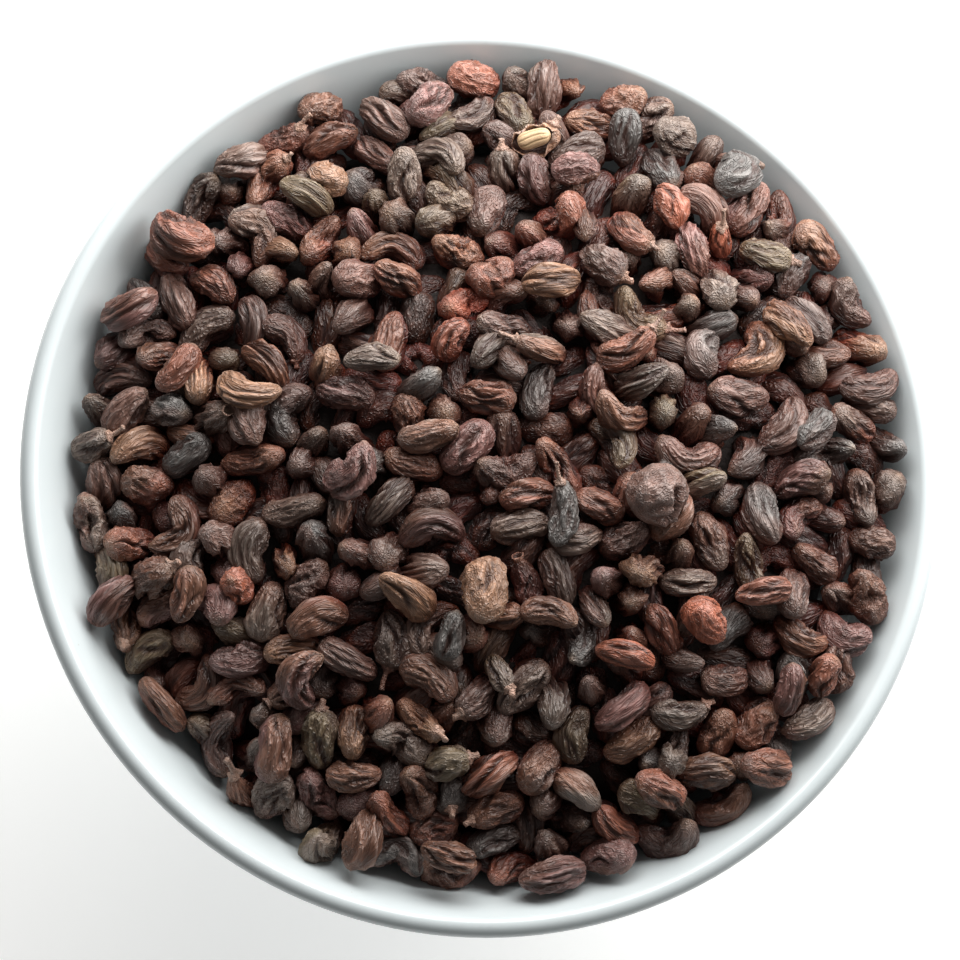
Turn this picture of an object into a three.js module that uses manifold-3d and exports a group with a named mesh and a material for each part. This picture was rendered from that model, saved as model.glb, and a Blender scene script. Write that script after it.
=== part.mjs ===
// A small white porcelain bowl heaped with dried glossy privet fruit.
// Millimetres, +Z up. The origin is the middle of the foot ring's underside, on the table.
//
// The bowl is one turned solid: a foot ring, a wall that opens like a paraboloid, and a round lip.
// The heap is one solid: a core that fills the cavity, and fused to it the dried fruits that show,
// each a bent spindle at its true size. The fruits are strewn through the top of the mound by a
// seeded rule and then settled: they push one another apart, lean on the wall and press on the core.
import * as THREE from "three";
import { mergeVertices } from "three/addons/utils/BufferGeometryUtils.js";
import Module from "manifold-3d";

const wasm = await Module();
wasm.setup();

const degrees = THREE.MathUtils.degToRad;
const { lerp } = THREE.MathUtils;

// Bowl
const RIM_RADIUS = 57; // at the outside of the lip
const RIM_HEIGHT = 50;
const LIP = 2.6; // thickness of the wall at the lip, which is fully round
const WALL = 4.4; // thickness of the wall at the foot
const RIM_STEEPNESS = degrees(63); // of the wall at the lip
const FLOOR = 6.5; // height of the cavity's lowest point
const FOOT_RADIUS = 25;
const FOOT_WIDTH = 3.2;
const FOOT_RECESS = 3.2; // height of the base inside the foot ring
const FOOT_ROUND = 0.8;
const SEGMENTS = 48;
const WALL_STEPS = 7;
const LIP_STEPS = 4;

// Heap: a dome that leans a little to one side
const EDGE_DEPTH = 2.8; // the dome's edge below the rim
const DOME = 9; // the dome's middle above its edge
const DOME_RADIUS = 52;
const LEAN = 4.2; // how much the edge rises on one side and falls on the other
const LEAN_ANGLE = degrees(30);
const GAP = 0.3; // between the heap and the bowl
const CORE_DEPTH = 2.6; // the core's top below the heap's surface
const CORE_SEGMENTS = 24;
const CORE_RINGS = 4;
const BLANK_RADIUS = 58; // of the blanks that the core and the heap are cut with
const BLANK_HEIGHT = 70;
const PROUD = 1.2; // a fruit shows if its top stands this far out of the core
const HELD = 0.05; // mm³ that a fruit at least shares with what it is fused to
const LOWER = 0.4; // a fruit that hangs free comes down by this much at a time

// Fruits
const FRUITS = 520; // besides those that stand out
const STREWN_RADIUS = 54;
const SEED = 20;
const MULTIPLIER = 1664525; // these three belong to the rule of the random draws
const INCREMENT = 1013904223;
const DRAW_RANGE = 2 ** 32;
const SHORTEST = 6;
const LONGEST = 8.8;
const THINNEST = 3.7;
const THICKEST = 5.2;
const STEEPEST = degrees(38); // the most that a strewn fruit tips up or down
const MOST_BEND = 0.26; // sag of a fruit's line, as a share of its length
const SLAB = 8.5; // the fruits lie this deep in the heap
const LAID_ON = 2; // fruits that stand out start this far above its surface
const GOLDEN_ANGLE = Math.PI * (3 - Math.sqrt(5));
const SIDES = 5;
// A fruit's outline from tip to tip: place along its half length, and share of its half thickness.
const OUTLINE = [
  [-1, 0],
  [-0.55, 0.94],
  [0.55, 0.94],
  [1, 0],
];

// Fruits that stand out, largest or brightest in the heap, as they lie on it:
// x and y of the middle, length, thickness, and the heading of the length in degrees from +X.
const NOTABLE = [
  [-9, 46.5, 7.7, 5.2, 25],
  [-21.5, 46.5, 6, 4.6, 20],
  [-19, 38.5, 6.5, 4.4, -20],
  [6.5, 42, 6.4, 3.7, 5],
  [-17.5, 23, 6.1, 5.2, -40],
  [-12.5, 25.5, 7, 4.3, -15],
  [-0.5, 25, 6, 5.2, 60],
  [-3.5, 16.5, 5.3, 3.9, 60],
  [-24, 34.5, 7.2, 4.3, -12],
  [-14, 14, 7.2, 3.6, 5],
  [-5, 41, 7.4, 4.1, -15],
  [23.5, 34, 5.8, 4, 100],
  [29, 31.5, 5, 3.2, 100],
  [31, 38, 6, 5.6, 90],
  [19, 30, 7.8, 4.4, -55],
  [23.5, 43.5, 6, 5.2, 40],
  [11, 39.5, 6.2, 4.3, 0],
  [36.5, 26.5, 7, 4, -25],
  [39.5, 18.5, 7.6, 4.1, 95],
  [17.5, 15.5, 8, 4.4, -10],
  [-17.5, 0.5, 7.4, 5.3, 80],
  [-29.5, 9, 8.2, 3.8, -3],
  [-39, 7.5, 5.2, 4.9, 30],
  [-40, 13, 7.4, 4.1, -5],
  [-31.5, -14, 5.4, 4, 35],
  [-36.5, -16, 7.2, 4, 100],
  [-50, 4.5, 6.2, 3.9, 70],
  [-38.5, 28.5, 7.6, 6.2, -20],
  [-46, -17, 7.2, 4.4, 75],
  [-7, 4, 7.8, 4.2, -20],
  [20.5, -4, 7.6, 7.2, 20],
  [9.5, -5.5, 8.2, 4.1, 95],
  [0, -17, 8.4, 6, 100],
  [-10.5, -15, 8.4, 4.8, -38],
  [17.5, -22.5, 7.6, 3.9, -15],
  [-5, -21.5, 6.4, 4.1, 35],
  [7.5, -18, 7.2, 4, -8],
  [34.5, -14.5, 7.2, 3.9, 0],
  [27, -19.5, 6.6, 5.2, -45],
  [25, -33, 7.2, 4, 12],
  [34.5, -36, 7.8, 4.8, -20],
  [21.5, -38.5, 7.4, 4.8, 5],
  [39.5, -26.5, 7, 3.8, 80],
  [44, -25, 5.9, 3.8, 70],
  [-27.5, -36, 8.6, 5.2, 110],
  [-15, -47, 6.6, 5.4, 20],
  [-4.5, -49, 6.8, 4.2, -45],
  [2, -28, 5.6, 3.2, -35],
  [-8.5, -33, 7, 4, -60],
  [-21.5, -25.5, 7.2, 4.4, 70],
  [41, 5, 6.6, 4.2, 20],
  [6.5, 24.5, 7.6, 4.4, -20],
  [17, 8.5, 8, 4.2, -20],
  [39.5, -6, 6.4, 4.2, 30],
];

// Settling
const STEPS = 200;
const QUIET_STEPS = 40; // at the end, without weight
const WEIGHT = 0.04; // sinking in each step
const SQUEEZE = 0.9; // fruits touch at this share of their thickness
const WALL_CLEARANCE = 0.3;
const NEAR = 10; // fruits whose middles are further apart can't touch
const LOOK_EVERY = 5; // steps between two looks for near fruits
const STATIONS = [-1, 0, 1]; // a settling fruit is three balls in a row

// The cavity's wall: its height at a radius, its steepness, and lines beside it

const INNER_RADIUS = RIM_RADIUS - (LIP / 2) * (1 + Math.sin(RIM_STEEPNESS));
const CAVITY = RIM_HEIGHT - (LIP / 2) * (1 - Math.cos(RIM_STEEPNESS)) - FLOOR;
const WALL_CURVE = (Math.tan(RIM_STEEPNESS) * INNER_RADIUS) / CAVITY; // 2 would be a paraboloid

function wallHeight(radius) {
  return FLOOR + CAVITY * Math.pow(radius / INNER_RADIUS, WALL_CURVE);
}

function wallSlope(radius) {
  return (WALL_CURVE * CAVITY * Math.pow(radius / INNER_RADIUS, WALL_CURVE - 1)) / INNER_RADIUS;
}

// The profile point that lies a distance outside the wall, square to it. Inside is negative.
function besideWall(radius, distance) {
  const slope = wallSlope(radius);
  const scale = distance / Math.hypot(1, slope);
  return new THREE.Vector2(radius + slope * scale, wallHeight(radius) - scale);
}

function wallLine(distance, from, to) {
  const line = [];
  for (let i = 0; i <= WALL_STEPS; i++) {
    const share = i / WALL_STEPS;
    line.push(besideWall(lerp(from, to, share), distance(share)));
  }
  return line;
}

// Bowl

// The points between two ends of a half circle.
function lipArc(start, end) {
  const centre = start.clone().add(end).multiplyScalar(0.5);
  const arc = [];
  for (let i = 1; i < LIP_STEPS; i++) {
    arc.push(start.clone().rotateAround(centre, (Math.PI * i) / LIP_STEPS));
  }
  return arc;
}

function turn(profile, segments) {
  return new THREE.LatheGeometry(profile, segments).rotateX(Math.PI / 2);
}

function bowlGeometry() {
  const footInner = FOOT_RADIUS - FOOT_WIDTH;
  const foot = [
    new THREE.Vector2(0, FOOT_RECESS),
    new THREE.Vector2(footInner, FOOT_RECESS),
    new THREE.Vector2(footInner, FOOT_ROUND),
    new THREE.Vector2(footInner + FOOT_ROUND, 0),
    new THREE.Vector2(FOOT_RADIUS - FOOT_ROUND, 0),
    new THREE.Vector2(FOOT_RADIUS, FOOT_ROUND),
  ];
  const outside = wallLine((share) => lerp(WALL, LIP, share), FOOT_RADIUS, INNER_RADIUS);
  const inside = wallLine(() => 0, INNER_RADIUS, 0);
  return turn([...foot, ...outside, ...lipArc(outside.at(-1), inside[0]), ...inside], SEGMENTS);
}

// Solids

function solidOf(geometry) {
  const bare = new THREE.BufferGeometry();
  bare.setAttribute("position", geometry.getAttribute("position"));
  bare.setIndex(geometry.index);
  const merged = mergeVertices(bare);
  const vertProperties = new Float32Array(merged.getAttribute("position").array);
  const triVerts = new Uint32Array(merged.index.array);
  return new wasm.Manifold(new wasm.Mesh({ numProp: 3, vertProperties, triVerts }));
}

function geometryOf(solid) {
  const { vertProperties, triVerts } = solid.getMesh();
  const geometry = new THREE.BufferGeometry();
  geometry.setAttribute("position", new THREE.BufferAttribute(vertProperties, 3));
  geometry.setIndex(new THREE.BufferAttribute(triVerts, 1));
  return geometry;
}

// Heap

// Height of the heap's surface.
function heapTop(x, y) {
  const lean = (LEAN * (x * Math.cos(LEAN_ANGLE) + y * Math.sin(LEAN_ANGLE))) / DOME_RADIUS;
  const rise = DOME * (1 - (x * x + y * y) / (DOME_RADIUS * DOME_RADIUS));
  return RIM_HEIGHT - EDGE_DEPTH + lean + rise;
}

// All that is inside the bowl, a gap off its wall, and above it.
function roomSolid(segments) {
  const profile = wallLine(() => -GAP, 0, INNER_RADIUS);
  profile.push(new THREE.Vector2(profile.at(-1).x, BLANK_HEIGHT), new THREE.Vector2(0, BLANK_HEIGHT));
  return solidOf(turn(profile, segments));
}

// A blank up to the heap's surface, a little sunk.
function moundSolid() {
  const profile = [new THREE.Vector2(0, 0), new THREE.Vector2(BLANK_RADIUS, 0)];
  for (let i = CORE_RINGS; i >= 0; i--) {
    profile.push(new THREE.Vector2((BLANK_RADIUS * i) / CORE_RINGS, BLANK_HEIGHT));
  }
  const mound = turn(profile, CORE_SEGMENTS);
  const place = mound.getAttribute("position");
  for (let i = 0; i < place.count; i++) {
    if (place.getZ(i) > 0) {
      place.setZ(i, heapTop(place.getX(i), place.getY(i)) - CORE_DEPTH);
    }
  }
  return solidOf(mound);
}

// A random draw from 0 to 1 by a linear congruential rule, so that each run gives the same heap.
let state = SEED;
function draw() {
  state = (Math.imul(state, MULTIPLIER) + INCREMENT) >>> 0;
  return state / DRAW_RANGE;
}

// Sizes and places of all fruits before they settle: those that stand out lie on the heap,
// and the rest are strewn through it on a sunflower's spiral.
function strewn() {
  const fruits = NOTABLE.map(([x, y, length, thickness, heading]) => ({
    length,
    thickness,
    middle: new THREE.Vector3(x, y, heapTop(x, y) + LAID_ON),
    axis: new THREE.Vector3(Math.cos(degrees(heading)), Math.sin(degrees(heading)), 0),
    roll: draw() * 2 * Math.PI,
    bend: draw() * MOST_BEND,
  }));
  for (let i = 0; i < FRUITS; i++) {
    const length = lerp(SHORTEST, LONGEST, (draw() + draw()) / 2);
    const thickness = lerp(THINNEST, THICKEST, (draw() + draw()) / 2);
    const yaw = draw() * 2 * Math.PI;
    const tip = (draw() * 2 - 1) * STEEPEST;
    const radius = STREWN_RADIUS * Math.sqrt((i + 0.5) / FRUITS);
    const x = radius * Math.cos(i * GOLDEN_ANGLE);
    const y = radius * Math.sin(i * GOLDEN_ANGLE);
    const middle = new THREE.Vector3(x, y, heapTop(x, y) - draw() * SLAB);
    const level = Math.cos(tip);
    const axis = new THREE.Vector3(Math.cos(yaw) * level, Math.sin(yaw) * level, Math.sin(tip));
    fruits.push({ length, thickness, middle, axis, roll: draw() * 2 * Math.PI, bend: draw() * MOST_BEND });
  }
  return fruits;
}

function ballsOf({ length, thickness, middle, axis }) {
  const reach = (length - thickness) / 2;
  return STATIONS.map((station) => middle.clone().addScaledVector(axis, station * reach));
}

function nearPairs(fruits) {
  const pairs = [];
  for (let i = 0; i < fruits.length; i++) {
    for (let j = i + 1; j < fruits.length; j++) {
      if (fruits[i].middle.distanceTo(fruits[j].middle) < NEAR) pairs.push([i, j]);
    }
  }
  return pairs;
}

// How far a ball has to move to stand clear of the wall and above the slab's floor.
function supportOf(ball, ballRadius) {
  const push = new THREE.Vector3();
  const radius = Math.hypot(ball.x, ball.y);
  const slope = wallSlope(radius);
  const scale = 1 / Math.hypot(1, slope);
  const inWall = ballRadius + WALL_CLEARANCE - (ball.z - wallHeight(radius)) * scale;
  if (inWall > 0) {
    const inward = (-slope * scale) / radius;
    push.set(ball.x * inward, ball.y * inward, scale).multiplyScalar(inWall);
  }
  push.z += Math.max(0, heapTop(ball.x, ball.y) - SLAB + ballRadius - ball.z);
  return push;
}

// Pushes the balls of two fruits apart where they cross.
function part(ballsA, ballsB, touch, pushesA, pushesB) {
  const apart = new THREE.Vector3();
  ballsA.forEach((a, p) => {
    ballsB.forEach((b, q) => {
      const distance = apart.subVectors(b, a).length();
      if (distance < touch) {
        apart.multiplyScalar((touch - distance) / (2 * distance));
        pushesA[p].sub(apart);
        pushesB[q].add(apart);
      }
    });
  });
}

// Moves and turns a fruit by the pushes on its three balls, and lets it sink towards the core.
function move(fruit, [tail, waist, head], weight) {
  const { length, thickness, middle, axis } = fruit;
  middle.addScaledVector(tail, 1 / 3).addScaledVector(waist, 1 / 3).addScaledVector(head, 1 / 3);
  axis.addScaledVector(head.sub(tail), 1 / (length - thickness / 2)).normalize();
  const steepness = (2 * DOME) / (DOME_RADIUS * DOME_RADIUS);
  const outward = new THREE.Vector3(steepness * middle.x, steepness * middle.y, 1).normalize();
  middle.addScaledVector(outward, -weight);
}

function settle(fruits) {
  let pairs = [];
  for (let step = 0; step < STEPS; step++) {
    if (step % LOOK_EVERY === 0) pairs = nearPairs(fruits);
    const balls = fruits.map(ballsOf);
    const pushes = fruits.map(({ thickness }, i) => balls[i].map((ball) => supportOf(ball, thickness / 2)));
    for (const [i, j] of pairs) {
      const touch = (SQUEEZE * (fruits[i].thickness + fruits[j].thickness)) / 2;
      part(balls[i], balls[j], touch, pushes[i], pushes[j]);
    }
    const weight = step < STEPS - QUIET_STEPS ? WEIGHT : 0;
    fruits.forEach((fruit, i) => move(fruit, pushes[i], weight));
  }
  return fruits;
}

function fruitSolid({ length, thickness, middle, axis, roll, bend }) {
  const profile = OUTLINE.map(([along, out]) => new THREE.Vector2((out * thickness) / 2, (along * length) / 2));
  const spindle = new THREE.LatheGeometry(profile, SIDES);
  const place = spindle.getAttribute("position");
  for (let i = 0; i < place.count; i++) {
    const along = (2 * place.getY(i)) / length;
    place.setX(i, place.getX(i) + bend * length * (0.5 - along * along));
  }
  const up = new THREE.Vector3(0, 1, 0);
  spindle.rotateY(roll).applyQuaternion(new THREE.Quaternion().setFromUnitVectors(up, axis));
  return solidOf(spindle.translate(middle.x, middle.y, middle.z));
}

function shows({ middle, thickness }) {
  return middle.z + thickness / 2 > heapTop(middle.x, middle.y) - CORE_DEPTH + PROUD;
}

// Fuses the fruits to the core from the lowest up, and cuts off what would cross the bowl.
// A fruit that hangs free comes down until it is held.
function heapGeometry() {
  let heap = moundSolid().intersect(roomSolid(CORE_SEGMENTS));
  const showing = settle(strewn()).filter(shows);
  showing.sort((a, b) => a.middle.z - b.middle.z);
  for (const fruit of showing) {
    let solid = fruitSolid(fruit);
    while (heap.intersect(solid).volume() < HELD) {
      fruit.middle.z -= LOWER;
      solid = fruitSolid(fruit);
    }
    heap = heap.add(solid);
  }
  const pieces = heap.intersect(roomSolid(SEGMENTS)).decompose();
  pieces.sort((a, b) => b.volume() - a.volume());
  return geometryOf(pieces[0]);
}

function named(name, geometry, material) {
  const mesh = new THREE.Mesh(geometry, material);
  mesh.name = name;
  return mesh;
}

const porcelain = new THREE.MeshStandardMaterial({ color: 0xeef3f2, roughness: 0.15, metalness: 0 });
const driedSkin = new THREE.MeshStandardMaterial({ color: 0x4a3a35, roughness: 0.6, metalness: 0 });

const bowlOfFruit = new THREE.Group();
bowlOfFruit.add(named("bowl", bowlGeometry(), porcelain));
bowlOfFruit.add(named("fruit_heap", heapGeometry(), driedSkin));

export default bowlOfFruit;
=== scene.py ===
"""A small white porcelain bowl heaped with dried privet fruit.

The frame holds two solids: the bowl, and the heap as a core with plain spindles fused to it. Here
the bowl is turned smooth and glazed, and the heap becomes a dark bed under wrinkled fruits, each
one modelled by itself. The fruits are strewn and settled by the rule that places the frame's
spindles, so each lies over its own. Lengths are in metres, +Z is up, and the origin is in the
middle under the bowl's foot.
"""

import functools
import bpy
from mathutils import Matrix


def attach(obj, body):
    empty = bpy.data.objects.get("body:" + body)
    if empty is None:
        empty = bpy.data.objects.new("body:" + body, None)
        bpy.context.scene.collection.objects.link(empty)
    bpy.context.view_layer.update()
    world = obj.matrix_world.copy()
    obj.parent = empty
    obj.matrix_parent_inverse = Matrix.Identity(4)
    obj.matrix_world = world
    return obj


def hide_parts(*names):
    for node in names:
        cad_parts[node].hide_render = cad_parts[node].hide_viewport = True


bl_info = {
    "name": "Bowl of Dried Fruit",
    "version": (1, 0, 0),
    "blender": (4, 5, 0),
    "location": "View3D > Sidebar > Dried Fruit",
    "description": "Builds a porcelain bowl heaped with wrinkled dried fruits",
    "category": "Add Mesh",
}

from math import atan2, cos, hypot, pi, radians, sin, sqrt, tan

import bpy
import numpy as np
from bpy.props import FloatProperty, FloatVectorProperty, IntProperty, PointerProperty
from mathutils import Matrix, Vector

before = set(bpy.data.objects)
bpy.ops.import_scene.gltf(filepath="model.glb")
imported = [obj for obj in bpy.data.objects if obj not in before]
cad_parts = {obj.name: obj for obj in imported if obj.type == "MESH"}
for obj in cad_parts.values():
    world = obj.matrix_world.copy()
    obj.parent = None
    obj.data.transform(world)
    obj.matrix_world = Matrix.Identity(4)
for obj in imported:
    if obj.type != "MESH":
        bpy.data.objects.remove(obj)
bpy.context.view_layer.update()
MM = 0.001

# Fruits that stand out, largest or brightest in the heap, as they lie on it, in millimetres and
# degrees: x and y of the middle, length, thickness, heading of the length from +X, and skin.
NOTABLE = [
    (-9, 46.5, 7.7, 5.2, 25, "plum"),
    (-21.5, 46.5, 6, 4.6, 20, "umber"),
    (-19, 38.5, 6.5, 4.4, -20, "tan"),
    (6.5, 42, 6.4, 3.7, 5, "split"),
    (-17.5, 23, 6.1, 5.2, -40, "plum"),
    (-12.5, 25.5, 7, 4.3, -15, "russet"),
    (-0.5, 25, 6, 5.2, 60, "russet"),
    (-3.5, 16.5, 5.3, 3.9, 60, "ember"),
    (-24, 34.5, 7.2, 4.3, -12, "olive"),
    (-14, 14, 7.2, 3.6, 5, "ash"),
    (-5, 41, 7.4, 4.1, -15, "ash"),
    (23.5, 34, 5.8, 4, 100, "ember"),
    (29, 31.5, 5, 3.2, 100, "ember"),
    (31, 38, 6, 5.6, 90, "slate"),
    (19, 30, 7.8, 4.4, -55, "russet"),
    (23.5, 43.5, 6, 5.2, 40, "ash"),
    (11, 39.5, 6.2, 4.3, 0, "plum"),
    (36.5, 26.5, 7, 4, -25, "olive"),
    (39.5, 18.5, 7.6, 4.1, 95, "tan"),
    (17.5, 15.5, 8, 4.4, -10, "russet"),
    (-17.5, 0.5, 7.4, 5.3, 80, "plum"),
    (-29.5, 9, 8.2, 3.8, -3, "tan"),
    (-39, 7.5, 5.2, 4.9, 30, "slate"),
    (-40, 13, 7.4, 4.1, -5, "umber"),
    (-31.5, -14, 5.4, 4, 35, "ember"),
    (-36.5, -16, 7.2, 4, 100, "umber"),
    (-50, 4.5, 6.2, 3.9, 70, "ash"),
    (-38.5, 28.5, 7.6, 6.2, -20, "russet"),
    (-46, -17, 7.2, 4.4, 75, "plum"),
    (-7, 4, 7.8, 4.2, -20, "ash"),
    (20.5, -4, 7.6, 7.2, 20, "cocoa"),
    (9.5, -5.5, 8.2, 4.1, 95, "slate"),
    (0, -17, 8.4, 6, 100, "tan"),
    (-10.5, -15, 8.4, 4.8, -38, "tan"),
    (17.5, -22.5, 7.6, 3.9, -15, "ember"),
    (-5, -21.5, 6.4, 4.1, 35, "slate"),
    (7.5, -18, 7.2, 4, -8, "umber"),
    (34.5, -14.5, 7.2, 3.9, 0, "russet"),
    (27, -19.5, 6.6, 5.2, -45, "ember"),
    (25, -33, 7.2, 4, 12, "ash"),
    (34.5, -36, 7.8, 4.8, -20, "russet"),
    (21.5, -38.5, 7.4, 4.8, 5, "russet"),
    (39.5, -26.5, 7, 3.8, 80, "plum"),
    (44, -25, 5.9, 3.8, 70, "russet"),
    (-27.5, -36, 8.6, 5.2, 110, "plum"),
    (-15, -47, 6.6, 5.4, 20, "umber"),
    (-4.5, -49, 6.8, 4.2, -45, "umber"),
    (2, -28, 5.6, 3.2, -35, "olive"),
    (-8.5, -33, 7, 4, -60, "tan"),
    (-21.5, -25.5, 7.2, 4.4, 70, "plum"),
    (41, 5, 6.6, 4.2, 20, "slate"),
    (6.5, 24.5, 7.6, 4.4, -20, "tan"),
    (17, 8.5, 8, 4.2, -20, "tan"),
    (39.5, -6, 6.4, 4.2, 30, "plum"),
]
NOTABLE_COLUMNS = 5  # numbers in a row, before its skin

# Share of the strewn fruits with each skin.
SHARES = {
    "umber": 0.2,
    "cocoa": 0.18,
    "plum": 0.14,
    "ash": 0.18,
    "slate": 0.11,
    "olive": 0.08,
    "tan": 0.06,
    "russet": 0.045,
    "ember": 0.005,
}

# The skin whose colour shows in the blushed patches of each skin.
BLUSHES = {
    "umber": "russet",
    "cocoa": "ash",
    "plum": "umber",
    "ash": "umber",
    "slate": "cocoa",
    "olive": "ash",
    "tan": "umber",
    "russet": "umber",
    "ember": "russet",
}


# Settings


def linear(code):
    """A screen colour, written as six hexadecimal digits, as linear red, green and blue."""
    channels = [(code >> shift & 255) / 255 for shift in (16, 8, 0)]
    return tuple(c / 12.92 if c <= 0.04045 else ((c + 0.055) / 1.055) ** 2.4 for c in channels)


def length(name, description, millimetres):
    return FloatProperty(
        name=name,
        description=description,
        default=millimetres * MM,
        subtype="DISTANCE",
        unit="LENGTH",
    )


def angle(name, description, in_degrees):
    return FloatProperty(
        name=name,
        description=description,
        default=radians(in_degrees),
        subtype="ANGLE",
        unit="ROTATION",
    )


def share(name, description, value):
    return FloatProperty(name=name, description=description, default=value, subtype="FACTOR")


def count(name, description, value):
    return IntProperty(name=name, description=description, default=value, min=0)


def colour(name, description, code):
    return FloatVectorProperty(
        name=name, description=description, default=linear(code), subtype="COLOR", min=0, max=1
    )


class BowlSettings(bpy.types.PropertyGroup):
    """Sizes and colour of the bowl."""

    rim_radius: length("Rim Radius", "Outside of the lip", 57)
    rim_height: length("Rim Height", "Top of the lip above the table", 50)
    lip: length("Lip", "Thickness of the wall at its round lip", 2.6)
    wall: length("Wall", "Thickness of the wall at the foot", 4.4)
    rim_steepness: angle("Rim Steepness", "Slope of the wall at the lip", 63)
    floor: length("Floor", "Height of the cavity's lowest point", 6.5)
    foot_radius: length("Foot Radius", "Outside of the foot ring", 25)
    foot_width: length("Foot Width", "Width of the foot ring", 3.2)
    foot_recess: length("Foot Recess", "Height of the base inside the foot ring", 3.2)
    foot_round: length("Foot Round", "Radius of the foot ring's edges", 0.8)
    segments: count("Segments", "Segments round the bowl", 160)
    glaze: colour("Glaze", "Colour of the glazed porcelain", 0xD3DCDF)


class HeapSettings(bpy.types.PropertyGroup):
    """The mound of fruits and how they settle in it."""

    edge_depth: length("Edge Depth", "The dome's edge below the rim", 2.8)
    dome: length("Dome", "The dome's middle above its edge", 9)
    dome_radius: length("Dome Radius", "Where the dome meets its edge", 52)
    lean: length("Lean", "How much the edge rises on one side and falls on the other", 4.2)
    lean_angle: angle("Lean Angle", "Direction of the high side from +X", 30)
    fruits: count("Fruits", "Fruits besides those that stand out", 520)
    strewn_radius: length("Strewn Radius", "How far out the fruits are strewn", 54)
    seed: count("Seed", "Start of the random draws", 20)
    shortest: length("Shortest", "Length of the shortest fruit", 6)
    longest: length("Longest", "Length of the longest fruit", 8.8)
    thinnest: length("Thinnest", "Thickness of the thinnest fruit", 3.7)
    thickest: length("Thickest", "Thickness of the thickest fruit", 5.2)
    steepest: angle("Steepest", "The most that a strewn fruit tips up or down", 38)
    most_bend: share("Most Bend", "Sag of a fruit's line, as a share of its length", 0.26)
    slab: length("Slab", "The fruits lie this deep in the heap", 8.5)
    laid_on: length("Laid On", "Fruits that stand out start this far above the surface", 2)
    steps: count("Steps", "Steps of settling", 200)
    quiet_steps: count("Quiet Steps", "Last steps, without weight", 40)
    weight: length("Weight", "Sinking in each step", 0.04)
    squeeze: share("Squeeze", "Fruits touch at this share of their thickness", 0.9)
    wall_clearance: length("Wall Clearance", "Least gap between a fruit and the wall", 0.3)
    near: length("Near", "Fruits whose middles are further apart can't touch", 10)
    look_every: count("Look Every", "Steps between two looks for near fruits", 5)
    bed_depth: length("Bed Depth", "Top of the dark bed below the heap's surface", 5.2)
    bed_gap: length("Bed Gap", "Gap between the bed and the bowl", 0.3)
    lift: length("Lift", "The fruits under the showing layer lie this much higher, to fill gaps", 0.9)
    stalks: count("Stalks", "Fruits that still have a stalk or calyx", 30)


class SkinSettings(bpy.types.PropertyGroup):
    """Colours of the fruits' skins."""

    umber: colour("Umber", "Dark brown skin", 0x6A4736)
    cocoa: colour("Cocoa", "Purplish brown skin", 0x5C4239)
    plum: colour("Plum", "Reddish purple skin", 0x694843)
    ash: colour("Ash", "Grey brown skin", 0x61534A)
    slate: colour("Slate", "Dark grey skin", 0x4C4A48)
    olive: colour("Olive", "Olive brown skin", 0x625440)
    tan: colour("Tan", "Light brown skin", 0x84614A)
    russet: colour("Russet", "Reddish brown skin", 0x764635)
    ember: colour("Ember", "Orange red skin", 0x92513A)
    # Painted shade: the tint of skins deep in the heap.
    shadow: colour("Shadow", "What tints the skins down in the gaps", 0xB4603A)
    # Painted shade: the colour at the bottom of a crease.
    crease: colour("Crease", "The bottom of a crease", 0x37190D)
    # Dust on the rubbed ridges, a colour that also lightens them as painted highlight.
    dust: colour("Dust", "Rubbed and dusty ridges", 0x8A817E)
    # Painted shade: the bed is this dark to stand in for lower fruits in shade.
    bed: colour("Bed", "The shaded bed under the fruits", 0x1E0F0A)
    stalk: colour("Stalk", "Stalks and calyxes", 0x86695A)
    seed: colour("Seed", "The seed in the split fruit", 0xC2A481)
    groove: colour("Groove", "Grooves of the seed", 0x7A6237)


class StageSettings(bpy.types.PropertyGroup):
    """Camera, light and floor."""

    lens: FloatProperty(name="Lens", description="Focal length in millimetres", default=106.6)
    distance: length("Distance", "From the rim's centre to the camera", 350)
    tilt: angle("Tilt", "The camera's line from the vertical", 11.1)
    heading: angle("Heading", "Side from which the camera looks, from +X", 241.4)
    aim_right: length("Aim Right", "The camera aims this far right of the rim's centre", -0.86)
    aim_up: length("Aim Up", "The camera aims this far above the rim's centre", -1.34)
    key_power: FloatProperty(name="Key Power", description="Power of the main light", default=0.71)
    key_heading: angle("Key Heading", "Side of the main light, from +X", 67)
    key_height: angle("Key Height", "Main light above the rim, seen from its centre", 32)
    key_width: length("Key Width", "Width of the main light", 280)
    key_tall: length("Key Tall", "Height of the main light", 120)
    key_distance: length("Key Distance", "Main light from the rim's centre", 116)
    key_colour: colour("Key Colour", "Colour of the main light", 0xFFFDFA)
    sky: FloatProperty(name="Sky", description="Strength of the light from all round", default=0.18)
    sky_colour: colour("Sky Colour", "Colour of the light from all round", 0xF5F4F1)
    floor_colour: colour("Floor Colour", "Colour of the floor", 0xF4F4F3)
    # Painted light: the floor glows, though it is no lamp, and fills the bowl's shadow on it.
    floor_glow: FloatProperty(name="Floor Glow", description="Light from the floor itself", default=0.58)
    floor_size: length("Floor Size", "Width of the floor", 4000)


# Materials


def node(tree, kind, sockets=None, **settings):
    """Adds a node. A socket's value is a number or colour to set, or another socket to link."""
    made = tree.nodes.new("ShaderNode" + kind)
    for name, value in settings.items():
        setattr(made, name, value)
    for name, value in (sockets or {}).items():
        if isinstance(value, bpy.types.NodeSocket):
            tree.links.new(value, made.inputs[name])
        else:
            made.inputs[name].default_value = value
    return made


def new_material(name):
    material = bpy.data.materials.new(name)
    material.use_nodes = True
    material.node_tree.nodes.clear()
    return material, material.node_tree


def surface(tree, sockets):
    shader = node(tree, "BsdfPrincipled", sockets)
    node(tree, "OutputMaterial", {"Surface": shader.outputs["BSDF"]})


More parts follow.
